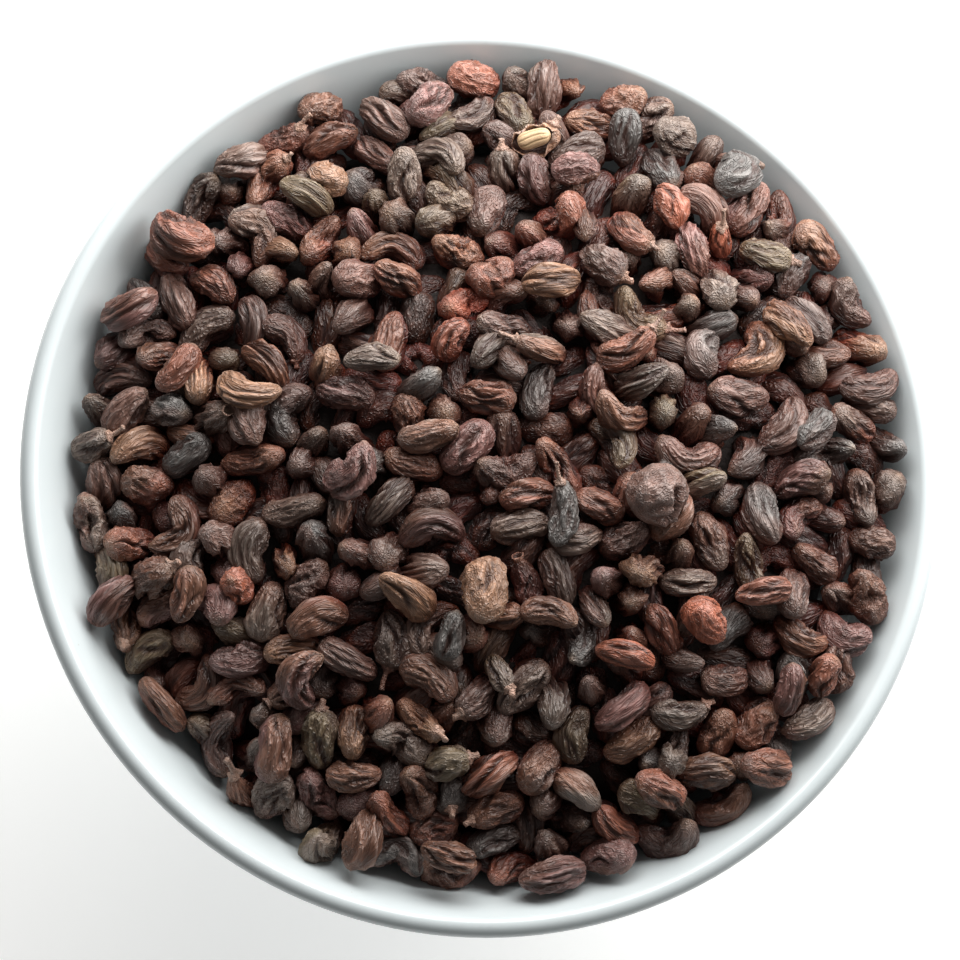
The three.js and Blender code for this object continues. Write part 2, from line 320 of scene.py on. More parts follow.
def attribute(tree, name, output="Fac"):
    return node(tree, "Attribute", attribute_name=name).outputs[output]


def maths(tree, operation, *values, clamp=False):
    sockets = dict(enumerate(values))
    return node(tree, "Math", sockets, operation=operation, use_clamp=clamp).outputs[0]


def vectors(tree, operation, *values):
    return node(tree, "VectorMath", dict(enumerate(values)), operation=operation).outputs["Vector"]


def span(tree, value, source=(0.0, 1.0), target=(0.0, 1.0)):
    """Carries a value from one range to another, and stops at its ends."""
    ends = {"From Min": source[0], "From Max": source[1], "To Min": target[0], "To Max": target[1]}
    return node(tree, "MapRange", {"Value": value, **ends}).outputs["Result"]


MIX_INPUTS = (0, 6, 7)  # a colour Mix node's factor and its two colours
MIX_OUTPUT = 2


def blend(tree, factor, first, second, kind="MIX"):
    mix = node(tree, "Mix", data_type="RGBA", blend_type=kind)
    for index, value in zip(MIX_INPUTS, (factor, first, second)):
        if isinstance(value, bpy.types.NodeSocket):
            tree.links.new(value, mix.inputs[index])
        elif isinstance(value, (int, float)):
            mix.inputs[index].default_value = value
        else:
            mix.inputs[index].default_value = (*value[:3], 1)
    return mix.outputs[MIX_OUTPUT]


def times(tree, shade, factor):
    """A colour made lighter, darker or tinted by a value or a second colour."""
    factor = (factor,) * 3 if isinstance(factor, float) else factor
    return blend(tree, 1.0, shade, factor, "MULTIPLY")


def noise(tree, vector, scale, detail, roughness=0.55):
    sockets = {"Vector": vector, "Scale": scale, "Detail": detail, "Roughness": roughness}
    return node(tree, "TexNoise", sockets).outputs["Fac"]


def pattern(tree, place, scale, detail, low, high, factors=(0.0, 1.0)):
    """Noise, carried from the part of its values that shows to a range of factors."""
    return span(tree, noise(tree, place, scale, detail), (low, high), factors)


def bumps(tree, height, deep, strength=1.0):
    """The normals of a surface that a pattern raises by a distance at most."""
    sockets = {"Strength": strength, "Distance": deep, "Height": height}
    return node(tree, "Bump", sockets).outputs["Normal"]


def faded(shade, factor):
    return tuple(channel * factor for channel in shade)


# Glaze. Scales are per metre, and low and high say which part of a pattern's values shows.
POOLS = {"scale": 55, "detail": 2, "low": 0.35, "high": 0.7}
POOLED = 0.985  # factor on the glaze's colour where it pools
SPECK_SCALE = 420
SPECK_EDGE = (0.03, 0.06)  # from a speck's middle, as a share of the space between specks
SPECKLED = {"scale": 160, "detail": 1, "low": 0.62, "high": 0.66}
SPECK_STRENGTH = 0.35
SPECK_COLOUR = 0xA79C8C
PEEL = {"scale": 260, "detail": 2}
PEEL_DEPTH = 0.05 * MM


def porcelain(glaze):
    """White porcelain under a clear glaze that pools a little and has a few fine specks."""
    material, tree = new_material("glazed_porcelain")
    place = node(tree, "TexCoord").outputs["Object"]
    body = blend(tree, pattern(tree, place, **POOLS), faded(glaze, POOLED), glaze)
    specks = node(tree, "TexVoronoi", {"Vector": place, "Scale": SPECK_SCALE})
    near_speck = span(tree, specks.outputs["Distance"], SPECK_EDGE, (1.0, 0.0))
    speck = maths(tree, "MULTIPLY", near_speck, pattern(tree, place, **SPECKLED))
    body = blend(tree, maths(tree, "MULTIPLY", speck, SPECK_STRENGTH), body, linear(SPECK_COLOUR))
    surface(
        tree,
        {
            "Base Color": body,
            "Roughness": 0.26,
            "Coat Weight": 0.3,
            "Coat Roughness": 0.08,
            "Normal": bumps(tree, noise(tree, place, **PEEL), PEEL_DEPTH, strength=0.12),
        },
    )
    return material


# Skin. Scales are per millimetre of skin, and factors are on the skin's own colour.
MOTTLE = {"scale": 2.2, "detail": 3, "roughness": 0.65}
PATCHES = {"scale": 0.5, "detail": 1, "low": 0.3, "high": 0.7, "factors": (0.7, 1.35)}
TINT_FACTORS = (0.85, 2.0)  # of the darkest and the lightest fruit
WRINKLES = {"scale": 1.3, "detail": 1, "roughness": 0.6}
WRINKLE_STRETCH = (1.0, 1.0, 0.6)  # draws them out along the fruit
WRINKLE_LINES = 6.0  # lines between the pattern's lowest and highest value
WRINKLE_EDGE = (0.04, 0.3)  # from a line's middle, as a share of the space between lines
WRINKLE_HEIGHT = 0.6  # as a share of the mottle's
RIDGE_MOTTLE = (0.3, 0.65)
RIDGE_LEAST = 0.3  # ridges stay at least this pale where the mottle is darkest
RIDGE_CREASE = 0.42  # depth of crease at which no ridge is left
RIDGE_WRINKLES = (0.8, 1.25)  # factors on a ridge's paleness, beside and on the fine wrinkles
# Painted highlight: factor that lightens the skin's own colour on the ridges.
RIDGE_HIGHLIGHT_FACTOR = 1.7
RIDGE_DUST_AND_HIGHLIGHT = 0.65  # share of the dust colour in the colour of the ridges, which pales them as dust and as painted highlight
CREASE_RANGE = (0.3, 0.9)  # depths where the painted shade of a crease begins and is full
CREASE_WRINKLES = (0.05, -0.05)  # added to the depth, beside and on the fine wrinkles
# Painted shade: how much of the crease colour the deepest creases take.
CREASE_STRENGTH = 0.85
TIP_STRENGTH = 0.45
TIP_COLOUR = 0x8A6D55
SHEEN_RANGE = (0.3, 0.7)
SHEEN_ROUGHNESS = (0.54, 0.4)
SKIN_DEPTH = 0.2 * MM


def fine_wrinkles(tree, skin):
    """Thin lines that wind over the skin: 1 on a line and 0 between lines."""
    drawn_out = vectors(tree, "MULTIPLY", skin, WRINKLE_STRETCH)
    swirls = maths(tree, "MULTIPLY", noise(tree, drawn_out, **WRINKLES), WRINKLE_LINES)
    return span(tree, maths(tree, "PINGPONG", swirls, 0.5), WRINKLE_EDGE, (1.0, 0.0))


def plain_skin(tree, skin, shade, blush):
    """The skin's colour before it is rubbed: blushed, tinted by fruit, and a little patchy."""
    body = blend(tree, attribute(tree, "blush"), shade, blush)
    body = times(tree, body, span(tree, attribute(tree, "tint"), target=TINT_FACTORS))
    return times(tree, body, pattern(tree, skin, **PATCHES))


def dusty_ridges(tree, body, crease, mottle, wrinkles, dust):
    """The colour with its ridges made pale: rubbed and dusty, and lightened as painted highlight."""
    ridge = span(tree, mottle, RIDGE_MOTTLE, (RIDGE_LEAST, 1.0))
    ridge = maths(tree, "MULTIPLY", ridge, span(tree, crease, (0.0, RIDGE_CREASE), (1.0, 0.0)))
    on_lines = span(tree, wrinkles, target=RIDGE_WRINKLES)
    ridge = maths(tree, "MULTIPLY", ridge, on_lines, clamp=True)
    return blend(tree, ridge, body, blend(tree, RIDGE_DUST_AND_HIGHLIGHT, times(tree, body, RIDGE_HIGHLIGHT_FACTOR), dust))


def dark_creases(tree, body, crease, wrinkles, bottom):
    """The colour with painted shade in its creases, darkest towards their bottom."""
    pits = maths(tree, "ADD", crease, span(tree, wrinkles, target=CREASE_WRINKLES))
    deep = maths(tree, "MULTIPLY", span(tree, pits, CREASE_RANGE), CREASE_STRENGTH)
    return blend(tree, deep, body, bottom)


def skin_material(name, shade, blush, skins):
    """Dry wrinkled skin: rubbed dusty ridges with painted highlight, creases with painted shade, blushed
    patches.

    It reads what each fruit carries: its own tint, the depth of its creases, where its skin is blushed,
    the place on its skin in millimetres, how near its stalk end is, and how deep it lies for painted
    shade.
    """
    material, tree = new_material(name)
    crease = attribute(tree, "crease")
    skin = attribute(tree, "skin", "Vector")
    mottle = noise(tree, skin, **MOTTLE)
    wrinkles = fine_wrinkles(tree, skin)
    body = plain_skin(tree, skin, shade, blush)
    body = dusty_ridges(tree, body, crease, mottle, wrinkles, tuple(skins.dust))
    body = dark_creases(tree, body, crease, wrinkles, tuple(skins.crease))
    by_stalk = maths(tree, "MULTIPLY", attribute(tree, "tip"), TIP_STRENGTH)
    body = blend(tree, by_stalk, body, linear(TIP_COLOUR))
    # Painted shade: the deeper a skin lies in the heap, the more it takes the shadow tint.
    body = blend(tree, attribute(tree, "sunk"), body, times(tree, body, tuple(skins.shadow)))
    height = maths(tree, "ADD", maths(tree, "MULTIPLY", wrinkles, WRINKLE_HEIGHT), mottle)
    surface(
        tree,
        {
            "Base Color": body,
            "Roughness": span(tree, mottle, SHEEN_RANGE, SHEEN_ROUGHNESS),
            "Specular IOR Level": 0.75,
            "Normal": bumps(tree, height, SKIN_DEPTH),
        },
    )
    return material


# Seed, whose scale is per millimetre of its skin, and bed and floor, whose scales are per metre.
FIBRES = {"scale": 4.0, "detail": 4, "roughness": 0.7}
FIBRES_RANGE = (0.3, 0.7)
FIBRE_FACTORS = (0.8, 1.15)
FIBRE_DEPTH = 0.08 * MM
GROOVE_STRENGTH = 0.85
BLOTCHES = {"scale": 240, "detail": 4, "low": 0.35, "high": 0.65}
BLOTCH_FACTOR = 0.4
BED_GRAIN = {"scale": 700, "detail": 4}
BED_GRAIN_DEPTH = 0.5 * MM
CLOUDS = {"scale": 3, "detail": 2, "low": 0.3, "high": 0.7}
CLOUD_FACTOR = 0.99


def seed_material(shade, groove):
    """A dry pale seed with darker grooves and fine fibres."""
    material, tree = new_material("seed_coat")
    fibres = noise(tree, attribute(tree, "skin", "Vector"), **FIBRES)
    body = times(tree, shade, span(tree, fibres, FIBRES_RANGE, FIBRE_FACTORS))
    in_groove = maths(tree, "MULTIPLY", attribute(tree, "crease"), GROOVE_STRENGTH)
    body = blend(tree, in_groove, body, groove)
    normal = bumps(tree, fibres, FIBRE_DEPTH, strength=0.7)
    surface(tree, {"Base Color": body, "Roughness": 0.6, "Normal": normal})
    return material


def bed_material(shade):
    """The lower fruits, painted dark as shade: dark brown with blotches of purple black."""
    material, tree = new_material("fruit_bed_skin")
    place = node(tree, "TexCoord").outputs["Object"]
    body = blend(tree, pattern(tree, place, **BLOTCHES), faded(shade, BLOTCH_FACTOR), shade)
    normal = bumps(tree, noise(tree, place, **BED_GRAIN), BED_GRAIN_DEPTH)
    surface(tree, {"Base Color": body, "Roughness": 0.8, "Normal": normal})
    return material


def floor_material(shade, glow):
    """A smooth pale surface that glows a little: painted light that fills the bowl's shadow on it."""
    material, tree = new_material("pale_floor")
    place = node(tree, "TexCoord").outputs["Object"]
    body = blend(tree, pattern(tree, place, **CLOUDS), faded(shade, CLOUD_FACTOR), shade)
    # Painted light: the floor glows with its own colour.
    light = {"Emission Color": (*shade, 1), "Emission Strength": glow}
    surface(tree, {"Base Color": body, "Roughness": 0.7, **light})
    return material


# Meshes


def add_object(name, data):
    thing = bpy.data.objects.new(name, data)
    bpy.context.scene.collection.objects.link(thing)
    return thing


def piece_from(name, points, quads, triangles):
    """A smooth-shaded piece from arrays of points, four-sided and three-sided faces."""
    mesh = bpy.data.meshes.new(name)
    corners = np.concatenate([quads.ravel(), triangles.ravel()]).astype(np.int32)
    starts = np.concatenate(
        [np.arange(len(quads)) * 4, quads.size + np.arange(len(triangles)) * 3]
    ).astype(np.int32)
    mesh.vertices.add(len(points))
    mesh.vertices.foreach_set("co", points.astype(np.float32).ravel())
    mesh.loops.add(len(corners))
    mesh.loops.foreach_set("vertex_index", corners)
    mesh.polygons.add(len(starts))
    mesh.polygons.foreach_set("loop_start", starts)
    mesh.update(calc_edges=True)
    mesh.polygons.foreach_set("use_smooth", np.ones(len(starts), bool))
    if mesh.validate():
        raise RuntimeError(f"{name} has faces that Blender had to mend")
    return add_object(name, mesh)


def carry(piece, name, kind, values):
    """Gives each vertex of a piece a value for its material to read."""
    layer = piece.data.attributes.new(name, kind, "POINT")
    field = "vector" if kind == "FLOAT_VECTOR" else "value"
    layer.data.foreach_set(field, np.asarray(values, np.float32).ravel())


WELD = 0.001 * MM


def turned_piece(name, profile, segments):
    """A closed solid of revolution, drawn out point by point and spun round the Z axis."""
    bpy.ops.object.select_all(action="DESELECT")
    first = Vector((profile[0][0], 0, profile[0][1]))
    bpy.ops.mesh.primitive_plane_add(size=MM, location=first)
    piece = bpy.context.object
    piece.name = name
    piece.data.name = name
    bpy.ops.object.transform_apply(location=True, rotation=True, scale=True)
    bpy.ops.object.mode_set(mode="EDIT")
    bpy.ops.mesh.merge(type="CENTER")
    last = first
    for radius, height in profile[1:]:
        point = Vector((radius, 0, height))
        bpy.ops.mesh.extrude_region_move(TRANSFORM_OT_translate={"value": point - last})
        last = point
    bpy.ops.mesh.select_all(action="SELECT")
    bpy.ops.mesh.spin(steps=segments, angle=2 * pi, center=(0, 0, 0), axis=(0, 0, 1))
    bpy.ops.mesh.select_all(action="SELECT")
    bpy.ops.mesh.remove_doubles(threshold=WELD)
    bpy.ops.mesh.normals_make_consistent(inside=False)
    bpy.ops.mesh.faces_shade_smooth()
    bpy.ops.object.mode_set(mode="OBJECT")
    return piece


def finish_piece(piece, material, node_name):
    piece.data.materials.clear()
    piece.data.materials.append(material)
    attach(piece, "root")
    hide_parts(node_name)


# Bowl


class Wall:
    """The wall of the bowl's cavity: its height and slope at a radius, and points beside it."""

    def __init__(self, bowl):
        half_lip = bowl.lip / 2
        self.floor = bowl.floor
        self.reach = bowl.rim_radius - half_lip * (1 + sin(bowl.rim_steepness))
        self.rise = bowl.rim_height - half_lip * (1 - cos(bowl.rim_steepness)) - bowl.floor
        self.curve = tan(bowl.rim_steepness) * self.reach / self.rise

    def height(self, radius):
        return self.floor + self.rise * (radius / self.reach) ** self.curve

    def slope(self, radius):
        return self.curve * self.rise * (radius / self.reach) ** (self.curve - 1) / self.reach

    def beside(self, radius, distance):
        """The profile point a distance outside the wall, square to it. Inside is negative."""
        slope = self.slope(radius)
        scale = distance / hypot(1, slope)
        return radius + slope * scale, self.height(radius) - scale


WALL_STEPS = 40
LIP_STEPS = 14
ROUND_STEPS = 5


def arc(centre, radius, start, end, steps):
    """Points on an arc from one angle to another, ends included."""
    turns = np.linspace(start, end, steps + 1)
    return [(centre[0] + radius * cos(t), centre[1] + radius * sin(t)) for t in turns]


def bowl_profile(bowl):
    """From the middle of the base round the foot, up outside, over the lip and down inside."""
    wall = Wall(bowl)
    rounding = bowl.foot_round
    inner, outer = bowl.foot_radius - bowl.foot_width, bowl.foot_radius
    points = [(0, bowl.foot_recess), (inner / 2, bowl.foot_recess)]
    points += arc((inner - rounding, bowl.foot_recess - rounding), rounding, pi / 2, 0, ROUND_STEPS)
    points += arc((inner + rounding, rounding), rounding, pi, 1.5 * pi, ROUND_STEPS)
    points += arc((outer - rounding, rounding), rounding, 1.5 * pi, 2 * pi, ROUND_STEPS)
    for along in np.linspace(0, 1, WALL_STEPS + 1):
        thickness = bowl.wall + (bowl.lip - bowl.wall) * along
        points.append(wall.beside(bowl.foot_radius + (wall.reach - bowl.foot_radius) * along, thickness))
    outside = Vector(points[-1])
    inside = Vector(wall.beside(wall.reach, 0))
    centre = (outside + inside) / 2
    start = atan2(outside.y - centre.y, outside.x - centre.x)
    points += arc(centre, bowl.lip / 2, start, start + pi, LIP_STEPS)[1:-1]
    for along in np.linspace(1, 0, WALL_STEPS + 1):
        points.append(wall.beside(wall.reach * along, 0))
    return points


# Heap


class Dome:
    """The heap's surface: a dome that leans a little to one side."""

    def __init__(self, heap, bowl):
        self.edge = bowl.rim_height - heap.edge_depth
        self.rise = heap.dome
        self.radius = heap.dome_radius
        self.lean_x = heap.lean * cos(heap.lean_angle) / heap.dome_radius
        self.lean_y = heap.lean * sin(heap.lean_angle) / heap.dome_radius

    def top(self, x, y):
        lean = self.lean_x * x + self.lean_y * y
        return self.edge + lean + self.rise * (1 - (x * x + y * y) / self.radius**2)


class Fruits:
    """Sizes and places of all fruits, as one array of each."""

    def __init__(self, rows):
        columns = [np.array(column) for column in zip(*rows)]
        self.length, self.thickness, self.middle, self.axis, self.roll, self.bend = columns

    def __len__(self):
        return len(self.length)


MULTIPLIER = 1664525
INCREMENT = 1013904223
DRAW_RANGE = 2**32
GOLDEN_ANGLE = pi * (3 - sqrt(5))


def draws(seed):
    """Random draws from 0 to 1 by the linear congruential rule that the frame's heap uses."""
    state = seed
    while True:
        state = (state * MULTIPLIER + INCREMENT) % DRAW_RANGE
        yield state / DRAW_RANGE


def strewn(heap, dome):
    """The fruits before they settle, in the frame's order of draws."""
    draw = draws(heap.seed).__next__
    rows = []
    for row in NOTABLE:
        x, y, long, thick = (value * MM for value in row[: NOTABLE_COLUMNS - 1])
        heading = radians(row[NOTABLE_COLUMNS - 1])
        middle = (x, y, dome.top(x, y) + heap.laid_on)
        axis = (cos(heading), sin(heading), 0)
        rows.append((long, thick, middle, axis, draw() * 2 * pi, draw() * heap.most_bend))
    for i in range(heap.fruits):
        long = heap.shortest + (heap.longest - heap.shortest) * (draw() + draw()) / 2
        thick = heap.thinnest + (heap.thickest - heap.thinnest) * (draw() + draw()) / 2
        yaw = draw() * 2 * pi
        tip = (draw() * 2 - 1) * heap.steepest
        radius = heap.strewn_radius * sqrt((i + 0.5) / heap.fruits)
        x, y = radius * cos(i * GOLDEN_ANGLE), radius * sin(i * GOLDEN_ANGLE)
        middle = (x, y, dome.top(x, y) - draw() * heap.slab)
        axis = (cos(yaw) * cos(tip), sin(yaw) * cos(tip), sin(tip))
        rows.append((long, thick, middle, axis, draw() * 2 * pi, draw() * heap.most_bend))
    return Fruits(rows)


STATIONS = np.array([-1.0, 0.0, 1.0])  # a settling fruit is three balls in a row


def balls_of(fruits):
    reach = (fruits.length - fruits.thickness) / 2
    return fruits.middle[:, None] + (STATIONS * reach[:, None])[..., None] * fruits.axis[:, None]


def near_pairs(fruits, near):
    apart = ((fruits.middle[:, None] - fruits.middle[None]) ** 2).sum(-1)
    return np.where(np.triu(apart < near**2, 1))


def support_of(balls, radii, wall, dome, heap):
    """How far each ball has to move to stand clear of the wall and above the slab's floor."""
    x, y, z = balls[..., 0], balls[..., 1], balls[..., 2]
    radius = np.hypot(x, y)
    slope = wall.slope(radius)
    scale = 1 / np.hypot(1, slope)
    in_wall = np.maximum(radii + heap.wall_clearance - (z - wall.height(radius)) * scale, 0)
    inward = -in_wall * slope * scale / radius
    push = np.stack([x * inward, y * inward, in_wall * scale], -1)
    push[..., 2] += np.maximum(0, dome.top(x, y) - heap.slab + radii - z)
    return push


def part_pairs(balls, push, thickness, pairs, squeeze):
    """Adds to the pushes what moves the balls of crossing fruits apart."""
    first, second = pairs
    apart = balls[second][:, None] - balls[first][:, :, None]
    distance = np.sqrt((apart**2).sum(-1))
    touch = (squeeze * (thickness[first] + thickness[second]) / 2)[:, None, None]
    step = np.where(distance < touch, (touch - distance) / (2 * distance), 0)[..., None] * apart
    np.subtract.at(push, first, step.sum(2))
    np.add.at(push, second, step.sum(1))


@functools.cache
def settled_fruits():
    """The heap at rest: fruits push one another apart, lean on the wall and sink to the core."""
    settings = bpy.context.scene.dried_fruit
    heap, bowl = settings.heap, settings.bowl
    wall, dome = Wall(bowl), Dome(heap, bowl)
    fruits = strewn(heap, dome)
    radii = fruits.thickness[:, None] / 2
    steepness = 2 * heap.dome / heap.dome_radius**2
    for step in range(heap.steps):
        if step % heap.look_every == 0:
            pairs = near_pairs(fruits, heap.near)
        balls = balls_of(fruits)
        push = support_of(balls, radii, wall, dome, heap)
        part_pairs(balls, push, fruits.thickness, pairs, heap.squeeze)
        fruits.middle = fruits.middle + push.mean(1)
        turn = (push[:, 2] - push[:, 0]) / (fruits.length - fruits.thickness / 2)[:, None]
        fruits.axis = fruits.axis + turn
        fruits.axis /= np.linalg.norm(fruits.axis, axis=1, keepdims=True)
        if step < heap.steps - heap.quiet_steps:
            outward = np.column_stack([steepness * fruits.middle[:, :2], np.ones(len(fruits))])
            outward /= np.linalg.norm(outward, axis=1, keepdims=True)
            fruits.middle = fruits.middle - heap.weight * outward
    return fruits


def bend_sides(fruits):
    """The side to which each fruit bows, turned from the upright as the frame turns its spindle."""
    upright = np.array((0.0, 1.0, 0.0))
    side = np.stack([np.cos(fruits.roll), np.zeros(len(fruits)), -np.sin(fruits.roll)], 1)
    turn = np.cross(upright, fruits.axis)
    once = np.cross(turn, side)
    return side + once + np.cross(turn, once) / (1 + fruits.axis @ upright)[:, None]


# Fruit surface


PLUMP = 0.66  # thickness for its length from which a fruit has few ribs
ROUND = 0.82  # and from which it has wide cells


class Form:
    """How one fruit's skin has dried: its outline, ribs, cells and folds, by seeded chance."""

    def __init__(self, ratio, chance):
        plump = ratio > PLUMP
        self.bluntness = chance.uniform(1.9, 2.9)
        self.egg = chance.uniform(-0.22, 0.22)  # fuller towards its head, or below 0 its tail
        self.flatness = chance.uniform(0.8, 1.0)
        self.ribs = int(chance.integers(10, 15))
        self.crisp = chance.random() < 0.4
        self.branches = int(chance.integers(3, 7))
        ribbed = chance.uniform(0.0, 0.5) if plump else chance.uniform(0.4, 1.0)
        self.rib_depth = (0.11 if self.crisp else 0.15) * ribbed
        self.cell_depth = 0.12 * (1 - 0.6 * ribbed) * chance.uniform(0.6, 1.0)
        self.cell_width = (2.0 if ratio > ROUND else 1.3) * MM
        self.cell_stretch = chance.uniform(1.0, 1.6) if plump else chance.uniform(1.8, 3.2)
        self.folds = int(chance.integers(2, 6))
        self.fold_depth = chance.uniform(0.08, 0.2)
        self.lump = chance.uniform(0.02, 0.08)
        self.tip_length = chance.uniform(0.05, 0.16)


TOP_CROWDING = 0.45  # draws the mesh lines together on a fruit's upper side
FULL_CREASE = 0.18  # relief of the darkest crease, as a share of the thickness
RIDGES_OUT = 0.07  # how far the ridges stand out from the plain outline, as a share of the thickness
THINNEST_PART = 0.12  # of the plain outline's half thickness that the relief leaves at least

# Waves over a skin: the size of each, the angle it runs through from the middle to an end, and
# how many of it there are once round.
RIB_WANDER = [(1.6, 0, 1), (1, 0, 2), (1.4, 2.4, 0), (0.8, 5.5, 2), (0.5, 9, -3)]
RIB_UNEVENNESS = [(0.25, 2, 5)]
FOLD_SWAY = [(0.25, 4, 0)]
LUMPS = [(0.5, 2, 2), (0.5, -3, 3), (0.35, 5, 1)]
BLUSH_EDGE = [(0.25, 4, 2)]


def waves(along, around, kinds, phases):
    """Waves of several kinds over a skin, added up."""
    total = 0
    for (size, lengthwise, crosswise), phase in zip(kinds, phases):
        total = total + size * np.sin(lengthwise * along + crosswise * around + phase)
    return total


def turn_between(angles, start):
    """Angles from a start, from half a turn back to half a turn on."""
    return (angles - start + pi) % (2 * pi) - pi


RIB_HEIGHT = 0.75
BRANCH_STRETCH = 1.5
CRISP_SHAPE, SOFT_SHAPE = 0.7, 0.8  # powers that make ribs thin or full


def ribs_of(along, around, form, chance):
    """Long ribs that wander, branch and differ in height: 1 on a rib, 0 between ribs."""
    *wander, uneven = chance.uniform(0, 2 * pi, len(RIB_WANDER) + 1)
    turn = form.ribs * around + waves(along, around, RIB_WANDER, wander)
    for _ in range(form.branches):
        across = turn_between(around, chance.uniform(0, 2 * pi))
        start, reach = chance.uniform(-0.8, 0.5), chance.uniform(0.3, 0.9)
        branch = np.arctan2(across, BRANCH_STRETCH * (along - start))
        branch = branch - np.arctan2(across, BRANCH_STRETCH * (along - start - reach))
        turn = turn + chance.choice((-1, 1)) * branch
    wave = np.abs(np.sin(turn / 2))
    rib = 1 - wave**CRISP_SHAPE if form.crisp else wave**SOFT_SHAPE
    return rib * (RIB_HEIGHT + waves(along, around, RIB_UNEVENNESS, [uneven]))


RIDGE_SHARE = 0.3  # width of the ridges between cells, as a share of a cell's width
FEWEST_CELLS = 8
CELL_SHAPE = 0.8  # power that rounds a cell's edges
WARP = 0.25 * MM  # how far the ridges between cells waver,
WARP_LENGTH = 0.9 * MM  # and over what length
CELL_SHIFT = 0.3 * MM  # how far a cell's middle is moved off the mesh's own points


def cells_of(skin, form, chance):
    """Sunken cells between thin branching ridges: 1 in a cell, 0 on a ridge."""
    flat = skin.reshape(-1, 3)
    flat = flat + WARP * np.sin(flat[:, [1, 2, 0]] / WARP_LENGTH + chance.uniform(0, 2 * pi, 3))
    reach = np.ptp(flat, axis=0)
    number = max(FEWEST_CELLS, int(pi * reach[0] * reach[2] / form.cell_width**2))
    centres = flat[chance.integers(0, len(flat), number)]
    centres = centres + chance.uniform(-1, 1, centres.shape) * CELL_SHIFT
    distance = np.sqrt(((flat[:, None] - centres[None]) ** 2).sum(-1))
    nearest = np.partition(distance, 1, axis=1)
    edge = (nearest[:, 1] - nearest[:, 0]) / (form.cell_width * RIDGE_SHARE)
    return np.clip(edge, 0, 1).reshape(skin.shape[:-1]) ** CELL_SHAPE


LIP_HEIGHT = 0.25  # raised lips beside a fold, as a share of its depth,
LIP_PLACE = 2  # and how many times its width from its middle


def folds_of(along, around, form, chance):
    """A few deep long folds with slightly raised lips: 1 at the bottom of a fold."""
    fold = np.zeros_like(along)
    for _ in range(form.folds):
        start, lean, sway = chance.uniform(0, 2 * pi), chance.normal(0, 0.5), chance.uniform(0, 2 * pi)
        middle, reach = chance.uniform(-0.5, 0.5), chance.uniform(0.4, 0.9)
        width = chance.uniform(0.14, 0.26)
        line = start + lean * along + waves(along, around, FOLD_SWAY, [sway])
        off = np.abs(turn_between(around, line)) / width
        within = np.exp(-(((along - middle) / reach) ** 4))
        fold = np.maximum(fold, np.exp(-(off**2)) * within)
        fold = fold - LIP_HEIGHT * np.exp(-((off - LIP_PLACE) ** 2)) * within
    return fold


BEAK = 0.25  # how much the outline draws in just before its tip
RIBS_FADE = 0.85  # how much the ribs fade at the ends


def outline_of(along, form):
    """Half the fruit's thickness at each place along it, as a share of the most, with a beak."""
    swell = (1 - np.abs(along) ** form.bluntness) ** 0.5 * (1 + form.egg * along)
    beak = np.clip((along - 1 + form.tip_length) / form.tip_length, 0, 1)
    return swell / swell.max() * (1 - BEAK * np.sin(beak * pi))


def relief_of(along, around, skin, form, chance):
    """How far ribs, cells and folds sink in, as a share of the thickness."""
    fading = 1 - RIBS_FADE * np.abs(along) ** 3
    relief = -form.rib_depth * (1 - ribs_of(along, around, form, chance)) * fading
    relief = relief - form.cell_depth * cells_of(skin, form, chance)
    return relief - form.fold_depth * folds_of(along, around, form, chance)


BLUSH_SOFTNESS = 0.5


def blush_of(along, around, chance):
    """Where the skin has another colour: one side or one end of some fruits."""
    lean = chance.normal(0, 1, 3)
    lean = lean / np.linalg.norm(lean)
    edge, strength = chance.uniform(-0.5, 0.8), chance.choice((0, 0.5, 0.9))
    side = lean[0] * along + lean[1] * np.cos(around) + lean[2] * np.sin(around)
    side = side + waves(along, around, BLUSH_EDGE, [3 * edge])
    return strength * np.clip((side - edge) / BLUSH_SOFTNESS + 0.5, 0, 1)


def with_poles(tail, rings, head):
    """Values of the rings in one row, between those of the two poles."""
    return np.concatenate([[tail], rings.reshape(-1, *np.shape(tail)), [head]])


class Spine:
    """The bent line through a fruit, seed or stalk, and the points round it."""

    def __init__(self, long, middle, axis, side, bend=0.0, flatness=1.0):
        self.long, self.middle, self.axis, self.side = long, middle, axis, side
        self.bend, self.flatness = bend, flatness
        self.third = np.cross(axis, side)

    def upward(self):
        """The angle round the line that faces up."""
        return atan2(self.third[2], self.side[2])

    def end(self, which):
        """The tail at -1 or the head at 1."""
        return self.middle + (self.axis * which - self.side * self.bend) * self.long / 2

    def points(self, along, around, out):
        """Points at distances out from the line, in rings from its tail to its head."""
        slope = 4 * self.bend * along[:, :1, None]
        ring_side = (self.side + self.axis * slope) / np.hypot(1, slope)
        line = self.middle + self.axis * (along * self.long / 2)[..., None]
        line = line + self.side * (self.bend * self.long * (0.5 - along**2))[..., None]
        outward = ring_side * np.cos(around)[..., None]
        outward = outward + self.third * (self.flatness * np.sin(around))[..., None]
        return with_poles(self.end(-1), line + outward * out[..., None], self.end(1))


def mesh_lines(rings, sides):
    """Where a surface's rings and sides lie: along it from -1 to 1, and turned round it."""
    along = np.sin(np.linspace(-1, 1, rings + 1) * pi / 2)[1:-1]
    turn = np.arange(sides) * 2 * pi / sides
    return np.meshgrid(along, turn, indexing="ij")


HOLLOW_DEPTH = 0.7  # of the hollow on the inside of a bend, as a share of the bend,
HOLLOW_WIDTH = 0.5  # its width as an angle round the fruit,
HOLLOW_LENGTH = 0.6  # and its length as a share of the fruit's
PATTERN_REACH = 50
POLE_CREASE = 0.3  # depth of crease at both poles
TIP_START = 0.8  # the stalk end's own colour starts here along the fruit,
TAIL_TIP = 0.3  # and the other end has a little of it


